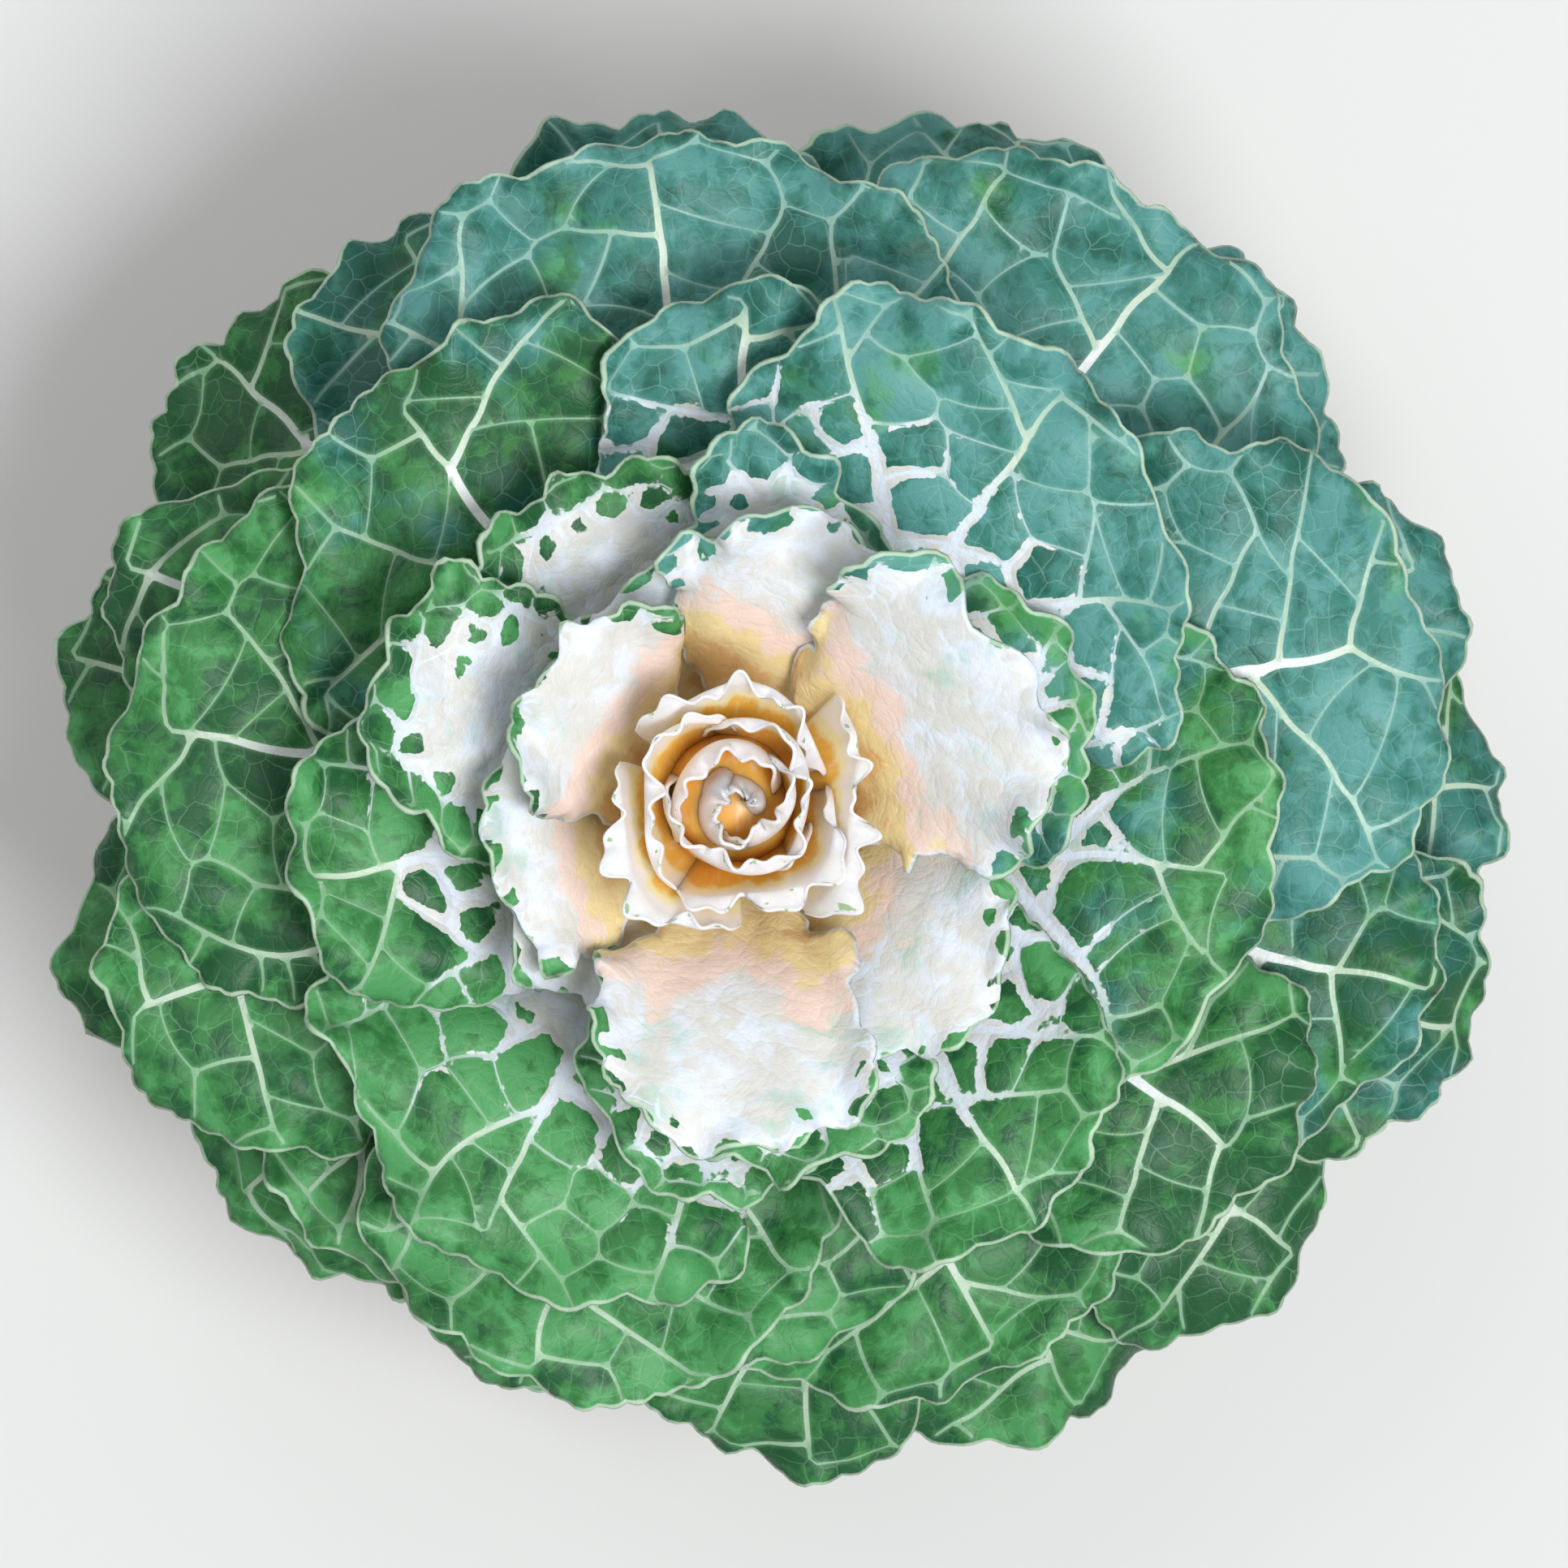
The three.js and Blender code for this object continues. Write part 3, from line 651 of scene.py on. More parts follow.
def clear_of(points, lines):
    """How far points are from the edge of the nearest vein, below 0 inside it, and that vein's half width."""
    starts, ends, start_halves, end_halves = lines
    clear = np.full(len(points), 1e9)
    half = np.zeros(len(points))
    run = ends - starts
    squares = np.maximum((run**2).sum(axis=1), 1e-9)
    low = np.minimum(starts, ends) - NEAR
    high = np.maximum(starts, ends) + NEAR
    tiles = np.floor(points / TILE).astype(int)
    for key in np.unique(tiles, axis=0):
        here = np.flatnonzero((tiles == key).all(axis=1))
        near = np.flatnonzero((low < (key + 1) * TILE).all(axis=1) & (high > key * TILE).all(axis=1))
        if len(near) == 0:
            clear[here] = NEAR
            continue
        offset = points[here][:, None] - starts[near]
        share = np.clip((offset * run[near]).sum(axis=2) / squares[near], 0, 1)
        gap = np.linalg.norm(offset - share[:, :, None] * run[near], axis=2)
        halves = blend(start_halves[near], end_halves[near], share)
        nearest = np.argmin(gap - halves, axis=1)
        rows = np.arange(len(here))
        clear[here] = (gap - halves)[rows, nearest]
        half[here] = halves[rows, nearest]
    return clear, half


def from_rim(points, outline):
    """How far points are from the outline."""
    thin = np.zeros(len(outline))
    return clear_of(points, (outline, np.roll(outline, -1, axis=0), thin, thin))[0]


# The mesh's points: their steps along a vein, how far out they lie on a wide one, how far past its edge,
# the pitch and jitter of those between the veins, and how near they may come to a vein, to the rim and to
# each other.
MIDDLE_STEP = 2.5
WIDE_HALF, WIDE_SIDE = 1.1, 0.6
EDGE_OUT, EDGE_CLEAR = 0.3, 0.2
PITCH, ROW_SHARE, JITTER = 2.7, 0.87, 0.25
FILL_CLEAR, RIM_CLEAR, MERGE = 1.5, 0.9, 0.7


def spread_points(outline, lines, rng):
    """The points of a leaf's mesh: on the veins, at their edges, and between them."""
    middles = []
    edges = []
    for a, b, first, last in zip(*lines):
        length = np.linalg.norm(b - a)
        if length < 1e-6:
            continue
        count = max(1, round(length / MIDDLE_STEP))
        aside = np.array([b[1] - a[1], a[0] - b[0]]) / length
        for k in range(count):
            share = (k + 0.5) / count
            half = blend(first, last, share)
            spot = a + (b - a) * share
            middles.append(spot)
            if half > WIDE_HALF:
                middles.extend(spot + aside * half * part for part in (-WIDE_SIDE, WIDE_SIDE))
            edges.extend(spot + aside * side * (half + EDGE_OUT) for side in (-1, 1))
    edges = np.array(edges)
    gap, _ = clear_of(edges, lines)
    edges = edges[gap > EDGE_CLEAR]
    low, high = outline.min(axis=0), outline.max(axis=0)
    rows = np.arange(low[1], high[1], PITCH * ROW_SHARE)
    fill = np.array([
        (x + PITCH / 2 * (k % 2), y)
        for k, y in enumerate(rows)
        for x in np.arange(low[0], high[0], PITCH)
    ])
    fill += rng.uniform(-JITTER, JITTER, fill.shape) * PITCH
    gap, _ = clear_of(fill, lines)
    fill = fill[gap > FILL_CLEAR]
    points = np.vstack([np.array(middles), edges, fill])
    points = points[inside(points, outline)]
    points = points[from_rim(points, outline) > RIM_CLEAR]
    _, kept = np.unique(np.round(points / MERGE), axis=0, return_index=True)
    return points[np.sort(kept)]


def flat_mesh(leaf, rng, cell):
    """The flat leaf as points and triangles, with what the finish and the relief need at each point."""
    outline = outline_of(leaf, rng)
    net = Net(leaf, outline, cell, rng)
    lines = net.lines()
    points = np.vstack([outline, spread_points(outline, lines, rng)])
    made, _, faces, *_ = delaunay_2d_cdt(
        [Vector(point) for point in points], [], [list(range(len(outline)))], 1, 1e-4
    )
    points = np.array([point[:] for point in made])
    clear, half = clear_of(points, lines)
    edge = np.maximum(from_rim(points, outline), 0)
    spots = to_fan(leaf, points)
    owner = np.array([np.argmin(((net.seeds - spot) ** 2).sum(axis=1)) for spot in spots])
    shade = rng.uniform(-1, 1, len(net.seeds))[owner]
    return points, np.array(faces), {"vein": clear, "vein_half": half, "edge": edge, "shade": shade}


class Ground:
    """The heights in plan of all that is already laid, on a square lattice."""

    REACH = 200
    CELL = 1.25
    # How far in cells a lift is spread, and then evened out, and how often.
    SPREAD = range(-5, 6)
    EVEN = range(-2, 3)
    EVENINGS = 3

    def __init__(self):
        count = int(2 * self.REACH / self.CELL) + 1
        self.top = np.zeros((count, count))
        x = np.arange(count)[:, None] * self.CELL - self.REACH
        y = np.arange(count)[None, :] * self.CELL - self.REACH
        radius = np.hypot(x, y)
        self.top[radius < RIM_RADIUS - WALL] = SOIL_TOP
        self.top[(radius > RIM_RADIUS - WALL) & (radius < RIM_RADIUS)] = POT_HEIGHT

    def cover(self, points, faces):
        """The lattice points that faces cover, with the height of the face there."""
        plan = (points + [self.REACH, self.REACH, 0]) / [self.CELL, self.CELL, 1]
        a, b, c = plan[faces[:, 0]], plan[faces[:, 1]], plan[faces[:, 2]]
        area = (b[:, 0] - a[:, 0]) * (c[:, 1] - a[:, 1]) - (c[:, 0] - a[:, 0]) * (b[:, 1] - a[:, 1])
        good = np.abs(area) > 1e-6
        a, b, c, area = a[good], b[good], c[good], area[good]
        low = np.ceil(np.minimum(np.minimum(a, b), c)[:, :2]).astype(int)
        high = np.floor(np.maximum(np.maximum(a, b), c)[:, :2]).astype(int)
        width = (high - low).max(axis=0) + 1
        found = []
        for di in range(width[0]):
            for dj in range(width[1]):
                spot = low + [di, dj]
                x, y = spot[:, 0] - a[:, 0], spot[:, 1] - a[:, 1]
                u = (x * (c[:, 1] - a[:, 1]) - (c[:, 0] - a[:, 0]) * y) / area
                v = ((b[:, 0] - a[:, 0]) * y - x * (b[:, 1] - a[:, 1])) / area
                hit = (u >= -1e-6) & (v >= -1e-6) & (u + v <= 1 + 1e-6)
                z = a[:, 2] + u * (b[:, 2] - a[:, 2]) + v * (c[:, 2] - a[:, 2])
                found.append((spot[hit, 0], spot[hit, 1], z[hit]))
        return tuple(np.concatenate(part) for part in zip(*found))

    def lift_for(self, points, faces, gap):
        """How far to lift each point of a sheet, by a smooth field, so that it clears what is laid."""
        i, j, z = self.cover(points, faces)
        need = np.zeros_like(self.top)
        np.maximum.at(need, (i, j), self.top[i, j] + gap - z)
        for axis in (0, 1):
            need = np.max([np.roll(need, k, axis=axis) for k in self.SPREAD], axis=0)
        for _ in range(self.EVENINGS):
            for axis in (0, 1):
                need = np.mean([np.roll(need, k, axis=axis) for k in self.EVEN], axis=0)
        plan = (points[:, :2] + self.REACH) / self.CELL
        low = np.floor(plan).astype(int)
        u, v = (plan - low).T
        i, j = low.T
        near = need[i, j] * (1 - u) + need[i + 1, j] * u
        far = need[i, j + 1] * (1 - u) + need[i + 1, j + 1] * u
        return near * (1 - v) + far * v

    def lay(self, points, faces):
        """Adds a sheet to what is laid."""
        i, j, z = self.cover(points, faces)
        np.maximum.at(self.top, (i, j), z)


def shell(above, below, faces):
    """The points and faces of a closed sheet: faces above, the same below, and a strip round the rim."""
    count = len(above)
    edges = np.vstack([faces[:, [0, 1]], faces[:, [1, 2]], faces[:, [2, 0]]])
    keys = {tuple(edge) for edge in edges.tolist()}
    rim = np.array([edge for edge in edges.tolist() if (edge[1], edge[0]) not in keys])
    strip = np.vstack([
        np.column_stack([rim[:, 1], rim[:, 0], rim[:, 0] + count]),
        np.column_stack([rim[:, 1], rim[:, 0] + count, rim[:, 1] + count]),
    ])
    return np.vstack([above, below]), np.vstack([faces, faces[:, ::-1] + count, strip])


def mesh_object(name, points, faces, layers=None):
    """A mesh object from points in millimetres, triangles, and named layers with a value for each point."""
    mesh = bpy.data.meshes.new(name)
    mesh.vertices.add(len(points))
    mesh.vertices.foreach_set("co", (np.asarray(points) * MM).astype(np.float32).ravel())
    mesh.loops.add(faces.size)
    mesh.loops.foreach_set("vertex_index", faces.astype(np.int32).ravel())
    mesh.polygons.add(len(faces))
    mesh.polygons.foreach_set("loop_start", np.arange(0, faces.size, 3, dtype=np.int32))
    for layer, values in (layers or {}).items():
        values = np.asarray(values, np.float32)
        kind, key = ("FLOAT", "value") if values.ndim == 1 else ("FLOAT_VECTOR", "vector")
        mesh.attributes.new(layer, kind, "POINT").data.foreach_set(key, values.ravel())
    mesh.update()
    mesh.validate()
    mesh.shade_smooth()
    piece = bpy.data.objects.new(name, mesh)
    bpy.context.scene.collection.objects.link(piece)
    return piece


# A leaf's relief: how soon a cell puffs up beside a vein and inside the rim, how high the veins stand above
# the blade and hang below it and from what half width on, the half width of a leaf with its full frill, and
# the gap to others.
PUFF_BESIDE, PUFF_RIM = 2.2, 4
CROWN, CROWN_HALF = 0.35, 0.6
RIB, THICK_RIB, THICK_RIB_HALF = 0.25, 1.1, 0.3
FULL_FRILL_HALF = 45
LEAF_GAP = 0.5
FIRST_SEED = 100
# How much the side of the plant and the leaf itself change its colour, the side's blue-green being painted
# sky reflection, and how far each cell changes the green's start.
SIDE_SKY_SHEEN, LESS_BLOOM, OWN_BLOOM = 0.9, 0.2, 0.15
SIDE_TONE, OWN_TONE = 0.9, 0.25
CELL_GREEN = 0.07
# Where the warm foot of a cream leaf ends, by the leaf's length, and where it is full, in mm from the
# leaf's foot. That warm foot beside the heart is partly the leaf's own tint and partly painted shade.
WARM_SHARE, WARM_END, WARM_FULL, OWN_WARM = 0.36, 31, 26, 5
# How far apart the finish's patterns are on different leaves.
PLACE_SPREAD = 400


def leaf_piece(leaf, ground, settings):
    """Builds one leaf on the ones already laid."""
    rng = np.random.default_rng(FIRST_SEED + leaf.seed)
    look = DRESSES[leaf.tier]
    points, faces, layers = flat_mesh(leaf, rng, look.cell * settings.cell_scale)
    x, y = points.T
    leaf.foot_z = frame_foot(leaf)
    frill = settings.frill / MM * look.frill * min(1, leaf.half_width / FULL_FRILL_HALF)
    middle, normal = leaf_frame(leaf, x, y, frill)
    clear, half, edge = layers["vein"], layers["vein_half"], layers["edge"]
    puff = look.puff * (1 - np.exp(-np.maximum(clear, 0) / PUFF_BESIDE)) * smooth(edge, 0, PUFF_RIM)
    puff = puff * smooth(y, leaf.start, 2 * leaf.start) * settings.puff
    within = np.clip(-clear / half, 0, 1)
    arch = 1 - (1 - within) ** 2
    crown = CROWN * np.maximum(half - CROWN_HALF, 0) * arch
    rib = (RIB + THICK_RIB * np.maximum(half - THICK_RIB_HALF, 0)) * arch
    thick = settings.blade / MM / 2
    above = middle + normal * (thick + (puff + crown))[:, None]
    below = middle + normal * (puff - thick - rib)[:, None]
    upward = faces[:, ::-1]
    lift = ground.lift_for(below, upward, LEAF_GAP)
    above[:, 2] += lift
    below[:, 2] += lift
    ground.lay(above, upward)
    layers = finish_layers(leaf, look, x, y, layers)
    return mesh_object(leaf.name + "_blade", *shell(above, below, upward), layers)


def finish_layers(leaf, look, x, y, layers):
    """All that the finish reads at each point of a leaf, for its upper side and then its lower."""
    if leaf.tier in PALE_TIERS:
        place = np.hypot(*leaf.on_oval(x, y)) * smooth(y / leaf.length, 0.3, 0.5)
    else:
        place = np.hypot(x, y) / leaf.length
    green = (place + CELL_GREEN * layers["shade"] - look.cream_end) / (look.green_full - look.cream_end)
    # Blue-green: the tier's bloom, painted sky reflection strongest on one side of the plant, and the leaf's
    # own.
    turn = leaf.azimuth - SKY_SHEEN_SIDE
    bloom = look.bloom + SIDE_SKY_SHEEN * math.cos(turn) - LESS_BLOOM + OWN_BLOOM * vary(leaf.seed, TRAIT_BLOOM)
    # Lightness: painted shade by tier, then the side of the plant and the leaf's own.
    tone = look.tone + SIDE_TONE * math.cos(2 * turn) + OWN_TONE * vary(leaf.seed, TRAIT_TONE)
    # Warm foot of a cream leaf beside the heart: partly its own tint, partly painted shade.
    inward = -y - OWN_WARM * vary(leaf.seed, TRAIT_WARM)
    warm = smooth(inward, -WARM_SHARE * leaf.length - WARM_END, -WARM_FULL)
    upper = {
        **layers,
        "green": np.clip(green, 0, 1),
        "bloom": np.full(len(x), bloom),
        "tone": np.full(len(x), tone),
        "warm": warm * (leaf.tier == "leaf_cream"),
    }
    both = {name: np.tile(values, 2) for name, values in upper.items()}
    both["under"] = np.repeat([0.0, 1.0], len(x))
    away = [PLACE_SPREAD * vary(leaf.seed, TRAIT_PLACE + k) for k in (0, 1)]
    flat = np.column_stack([x + away[0], y + away[1], np.zeros(len(x))])
    both["flat"] = np.tile(flat, (2, 1))
    return both


class Shade:
    """A socket that takes part in Python sums, each of which adds its Math node."""

    def __init__(self, finish, socket):
        self.finish = finish
        self.socket = socket

    def math(self, operation, *values, clamp=False):
        settings = {"operation": operation, "use_clamp": clamp}
        return self.finish.node("ShaderNodeMath", settings, dict(enumerate(values)))

    def __add__(self, other):
        return self.math("ADD", self, other)

    def __radd__(self, other):
        return self.math("ADD", other, self)

    def __sub__(self, other):
        return self.math("SUBTRACT", self, other)

    def __rsub__(self, other):
        return self.math("SUBTRACT", other, self)

    def __mul__(self, other):
        return self.math("MULTIPLY", self, other)

    def __rmul__(self, other):
        return self.math("MULTIPLY", other, self)

    def ramp(self, start, end):
        """0 before start, 1 after end, and a smooth step between them. Start may be the larger."""
        settings = {"interpolation_type": "SMOOTHSTEP"}
        low, high, first, last = (start, end, 0, 1) if start < end else (end, start, 1, 0)
        values = {"Value": self, "From Min": low, "From Max": high, "To Min": first, "To Max": last}
        return self.finish.node("ShaderNodeMapRange", settings, values)


class Finish:
    """A material under construction."""

    def __init__(self, name):
        self.material = bpy.data.materials.new(name)
        self.material.use_nodes = True
        self.tree = self.material.node_tree
        self.tree.nodes.clear()
        self.output = self.tree.nodes.new("ShaderNodeOutputMaterial")

    def node(self, kind, settings=None, values=None, output=0):
        """Adds a node: its settings first, then the values or links of its sockets. Gives one output back."""
        node = self.tree.nodes.new(kind)
        for name, value in (settings or {}).items():
            setattr(node, name, value)
        for name, value in (values or {}).items():
            socket = node.inputs[name]
            if isinstance(value, Shade):
                self.tree.links.new(value.socket, socket)
            else:
                socket.default_value = value
        return Shade(self, node.outputs[output])

    def layer(self, name, output="Fac"):
        return self.node("ShaderNodeAttribute", {"attribute_name": name}, output=output)

    def mix(self, share, first, second, blend_type="MIX"):
        """A colour between two others."""
        settings = {"data_type": "RGBA", "blend_type": blend_type}
        values = {"Factor": share, 6: opaque(first), 7: opaque(second)}
        return self.node("ShaderNodeMix", settings, values, output=2)

    def noise(self, place, scale, detail=2.0, rough=0.5, output=0):
        values = {"Vector": place, "Scale": scale, "Detail": detail, "Roughness": rough}
        return self.node("ShaderNodeTexNoise", {}, values, output=output)

    def cells(self, place, scale):
        """How far a place is from the border of its cell in a plane of scattered cells."""
        settings = {"feature": "DISTANCE_TO_EDGE", "voronoi_dimensions": "2D"}
        return self.node("ShaderNodeTexVoronoi", settings, {"Vector": place, "Scale": scale})

    def stretch(self, place, factors):
        """A vector with each part multiplied by its own factor."""
        return self.node("ShaderNodeVectorMath", {"operation": "MULTIPLY"}, {0: place, 1: factors})

    def shift(self, place, other, amount):
        """A vector moved by a share of another."""
        scaled = self.node("ShaderNodeVectorMath", {"operation": "SCALE"}, {0: other, "Scale": amount})
        return self.node("ShaderNodeVectorMath", {"operation": "ADD"}, {0: place, 1: scaled})

    def bump(self, height, strength, distance):
        return self.node("ShaderNodeBump", {}, {"Height": height, "Strength": strength, "Distance": distance})

    def surface(self, color, roughness, normal=None, **constants):
        """Ends the material in one principled shader, whose other sockets are constants."""
        values = {"Base Color": opaque(color), "Roughness": roughness}
        if normal is not None:
            values["Normal"] = normal
        values.update({name.replace("_", " "): value for name, value in constants.items()})
        shader = self.node("ShaderNodeBsdfPrincipled", {}, values)
        self.tree.links.new(shader.socket, self.output.inputs["Surface"])
        return self.material


def opaque(color):
    """A colour with its alpha, or a link as it is."""
    return color if isinstance(color, Shade) else (*color[:3], 1)


def tint(code):
    """A linear colour from a hexadecimal code of red, green and blue."""
    parts = [(code >> shift & 255) / 255 for shift in (16, 8, 0)]
    return tuple(part / 12.92 if part <= 0.04045 else ((part + 0.055) / 1.055) ** 2.4 for part in parts)


def leaf_finish(name, colors):
    """Leaf: waxy green, or blue-green partly painted as sky reflection, between pale veins; cream where it
    has no green.
    """
    f = Finish(name)
    flat = f.layer("flat", "Vector")
    vein, half, edge = f.layer("vein"), f.layer("vein_half"), f.layer("edge")
    shade, green, bloom, under = f.layer("shade"), f.layer("green"), f.layer("bloom"), f.layer("under")
    wander = f.noise(flat, 0.06, 3, output="Color")
    bent = f.shift(flat, wander, 9.0)
    cloud = f.noise(flat, 0.035, 3, 0.6)
    mottle = f.noise(bent, 0.13, 4, 0.6)
    net, fine = f.cells(bent, 0.19), f.cells(bent, 0.5)
    # Blue-green clouds: the leaves' bloom together with painted sky reflection.
    bloom_and_sky_sheen = (bloom + (cloud - 0.5) * 2.4).ramp(0.25, 0.75)
    body = f.mix(bloom_and_sky_sheen, colors.green, colors.teal)
    deep = f.mix(bloom_and_sky_sheen, colors.deep_green, colors.deep_teal)
    light = f.mix(bloom_and_sky_sheen, colors.light_green, colors.light_teal)
    # Dark and light greens in patches; the tone layer brings the tier's painted shade, darker on the outer
    # tiers.
    tone = mottle + shade * 0.12 + f.layer("tone") * 0.07
    body = f.mix(tone.ramp(0.5, 0.36), body, deep)
    body = f.mix((tone + edge.ramp(12, 0) * 0.05).ramp(0.52, 0.68), body, light)
    pale = f.mix(bloom_and_sky_sheen, colors.pale_green, colors.pale_teal)
    faint = cloud.ramp(0.42, 0.6) * 0.25 + 0.08
    body = f.mix(net.ramp(0.04, 0.01) * faint, body, pale)
    body = f.mix(vein.ramp(1.0, 0.1) * 0.2, body, pale)
    cream = f.mix(mottle.ramp(0.4, 0.65), colors.cream, colors.white)
    tinge = f.noise(flat, 0.05, 3)
    cream = f.mix((tinge + (mottle - 0.5) * 0.6).ramp(0.55, 0.7) * 0.45, cream, colors.pale_green)
    # Pink, yellow and orange at a cream leaf's foot: partly its own tint, partly painted shade.
    warm = f.layer("warm") + (mottle - 0.5) * 0.9 + (tinge - 0.5) * 1.3
    cream = f.mix(warm.ramp(0.25, 0.45), cream, colors.pink)
    cream = f.mix(warm.ramp(0.6, 0.8), cream, colors.yellow)
    cream = f.mix(warm.ramp(0.95, 1.2), cream, colors.orange)
    speckle = f.noise(bent, 0.34, 2)
    island = vein.ramp(0.1, 2.4) * 0.5 + (mottle - 0.5) * 0.3 + (speckle - 0.5) * 0.6
    patch = (green + island * green.ramp(0, 0.2)).ramp(0.66, 0.72)
    skin = f.mix(patch, cream, body)
    line = f.mix(half.ramp(0.35, 0.75), pale, colors.margin)
    line = f.mix(half.ramp(0.7, 1.1), line, colors.vein)
    line = f.mix(half.ramp(1.2, 1.8), line, colors.white)
    line = f.mix(green.ramp(0.95, 0.5), line, f.mix(green.ramp(0.1, 0.45), cream, colors.white))
    skin = f.mix(vein.ramp(0.1, -0.15), skin, line)
    hem = f.mix(patch, colors.white, colors.margin)
    skin = f.mix(edge.ramp(0.8, 0.35) * 0.8, skin, hem)
    skin = f.mix(under * 0.45, skin, colors.under)
    grain = f.noise(flat, 2.2, 2, 0.6)
    height = fine.ramp(0.0, 0.2) * 0.25 + net.ramp(0.0, 0.2) * 0.45 + grain * 0.3
    rough = 0.5 + (mottle - 0.5) * 0.3 - vein.ramp(0.2, -0.3) * 0.08
    return f.surface(
        skin, rough, f.bump(height, 0.3, 0.0005),
        Coat_Weight=0.05, Coat_Roughness=0.35, Subsurface_Weight=0.12, Subsurface_Scale=0.003,
        Subsurface_Radius=(0.6, 1.0, 0.3), Specular_IOR_Level=0.3,
    )


def heart_finish(colors):
    """Heart: cream lips, pink and yellow below them, orange deep down, partly painted shade; a few green
    flecks.
    """
    f = Finish("heart_leaves")
    flat = f.layer("flat", "Vector")
    depth, fleck = f.layer("depth"), f.layer("fleck")
    mottle = f.noise(flat, 0.12, 4, 0.6)
    streak = f.noise(f.stretch(flat, (1, 0.25, 1)), 0.5, 3)
    level = depth + (mottle - 0.5) * 9
    # Painted shade over the heart's own tint: warmer and darker the deeper below the lips.
    skin = f.mix(level.ramp(12.5, 9), colors.orange, colors.yellow)
    skin = f.mix(level.ramp(8.5, 6), skin, colors.pink)
    skin = f.mix(level.ramp(4.5, 2.5), skin, colors.cream)
    rag = f.noise(flat, 0.45, 3)
    skin = f.mix((depth + (rag - 0.5) * 9).ramp(1.3, 0.8), skin, colors.white)
    skin = f.mix(streak.ramp(0.5, 0.7) * 0.2, skin, colors.cream)
    spots = f.noise(flat, 0.3, 2)
    skin = f.mix((spots + fleck * 0.12).ramp(0.74, 0.77), skin, colors.light_green)
    return f.surface(
        skin, 0.45 + (mottle - 0.5) * 0.2, f.bump(streak, 0.25, 0.0006),
        Subsurface_Weight=0.7, Subsurface_Scale=0.008, Subsurface_Radius=(1.0, 0.8, 0.5), Coat_Weight=0.05,
    )


def clay_finish(colors):
    """Clay: fired terracotta with paler salt bloom, dark specks and a slight throwing grain."""
    f = Finish("terracotta")
    place = f.node("ShaderNodeTexCoord", output="Object")
    cloud = f.noise(place, 14, 4, 0.6)
    speck = f.noise(place, 420, 2, 0.5)
    turned = f.noise(f.stretch(place, (6, 6, 300)), 1.0, 2)
    height = f.node("ShaderNodeSeparateXYZ", values={"Vector": place}, output="Z")
    skin = f.mix(cloud.ramp(0.35, 0.7), colors.clay, colors.clay_light)
    skin = f.mix(speck.ramp(0.62, 0.72) * 0.5, skin, colors.clay_dark)
    salt = (cloud + height.ramp(0.05, 0.0) * 0.25).ramp(0.62, 0.8)
    skin = f.mix(salt * 0.45, skin, colors.salt)
    return f.surface(skin, 0.82 + (cloud - 0.5) * 0.2, f.bump(turned * 0.6 + speck * 0.3, 0.4, 0.0008))


def soil_finish(colors):
    """Soil: dark peat with bark-brown and a few pale grains."""
    f = Finish("potting_soil")
    place = f.node("ShaderNodeTexCoord", output="Object")
    lump = f.noise(place, 90, 5, 0.7)
    grain = f.noise(place, 600, 3, 0.6)
    skin = f.mix(lump.ramp(0.4, 0.65), colors.soil, colors.bark)
    skin = f.mix(grain.ramp(0.68, 0.74) * 0.6, skin, colors.salt)
    return f.surface(skin, 0.95, f.bump(lump * 0.7 + grain * 0.3, 0.8, 0.002))


def stalk_finish(colors):
    """Stalk: pale green with corky leaf scars."""
    f = Finish("stalk_bark")
    place = f.node("ShaderNodeTexCoord", output="Object")
    cork = f.noise(place, 120, 4, 0.6)
    skin = f.mix(cork.ramp(0.42, 0.62), colors.pale_green, colors.scar)
    return f.surface(skin, 0.7, f.bump(cork, 0.5, 0.001))


def turned_body(profile, sides):
    """Points and triangles of a body turned about +Z from a closed half profile of radii and heights."""
    points = []
    rings = []
    for radius, height in profile:
        if radius < 1e-6:
            rings.append([len(points)] * sides)
            points.append((0, 0, height))
            continue
        rings.append(list(range(len(points), len(points) + sides)))
        for k in range(sides):
            turn = 2 * math.pi * k / sides
            points.append((radius * math.cos(turn), radius * math.sin(turn), height))
    faces = []
    for ring, after in zip(rings, rings[1:]):
        for k in range(sides):
            a, b, c, d = ring[k], ring[(k + 1) % sides], after[(k + 1) % sides], after[k]
            if a != b:
                faces.append((a, b, c))
            if c != d:
                faces.append((a, c, d))
    return np.array(points, float), np.array(faces)


def rounded(profile, radius, steps=4):
    """A half profile with its inner corners rounded off."""
    result = [profile[0]]
    for before, here, after in zip(profile, profile[1:], profile[2:]):
        before, here, after = (np.array(point, float) for point in (before, here, after))
        back, ahead = before - here, after - here
        cut = min(radius, 0.45 * np.linalg.norm(back), 0.45 * np.linalg.norm(ahead))
        first, last = here + back / np.linalg.norm(back) * cut, here + ahead / np.linalg.norm(ahead) * cut
        for k in range(steps + 1):
            share = k / steps
            result.append(tuple((1 - share) ** 2 * first + 2 * share * (1 - share) * here + share**2 * last))
    result.append(profile[-1])
    return result


def inside_radius(height):
    """How wide the pot is inside at a height."""
    return blend(FOOT_RADIUS, RIM_RADIUS - RIM_STEP, height / (POT_HEIGHT - RIM_BAND)) - WALL


def dress(piece, node, finish):
    """Gives a new piece its finish and its place in the frame."""
    piece.data.materials.append(finish)
    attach(piece, "root")
    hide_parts(node)
    return piece


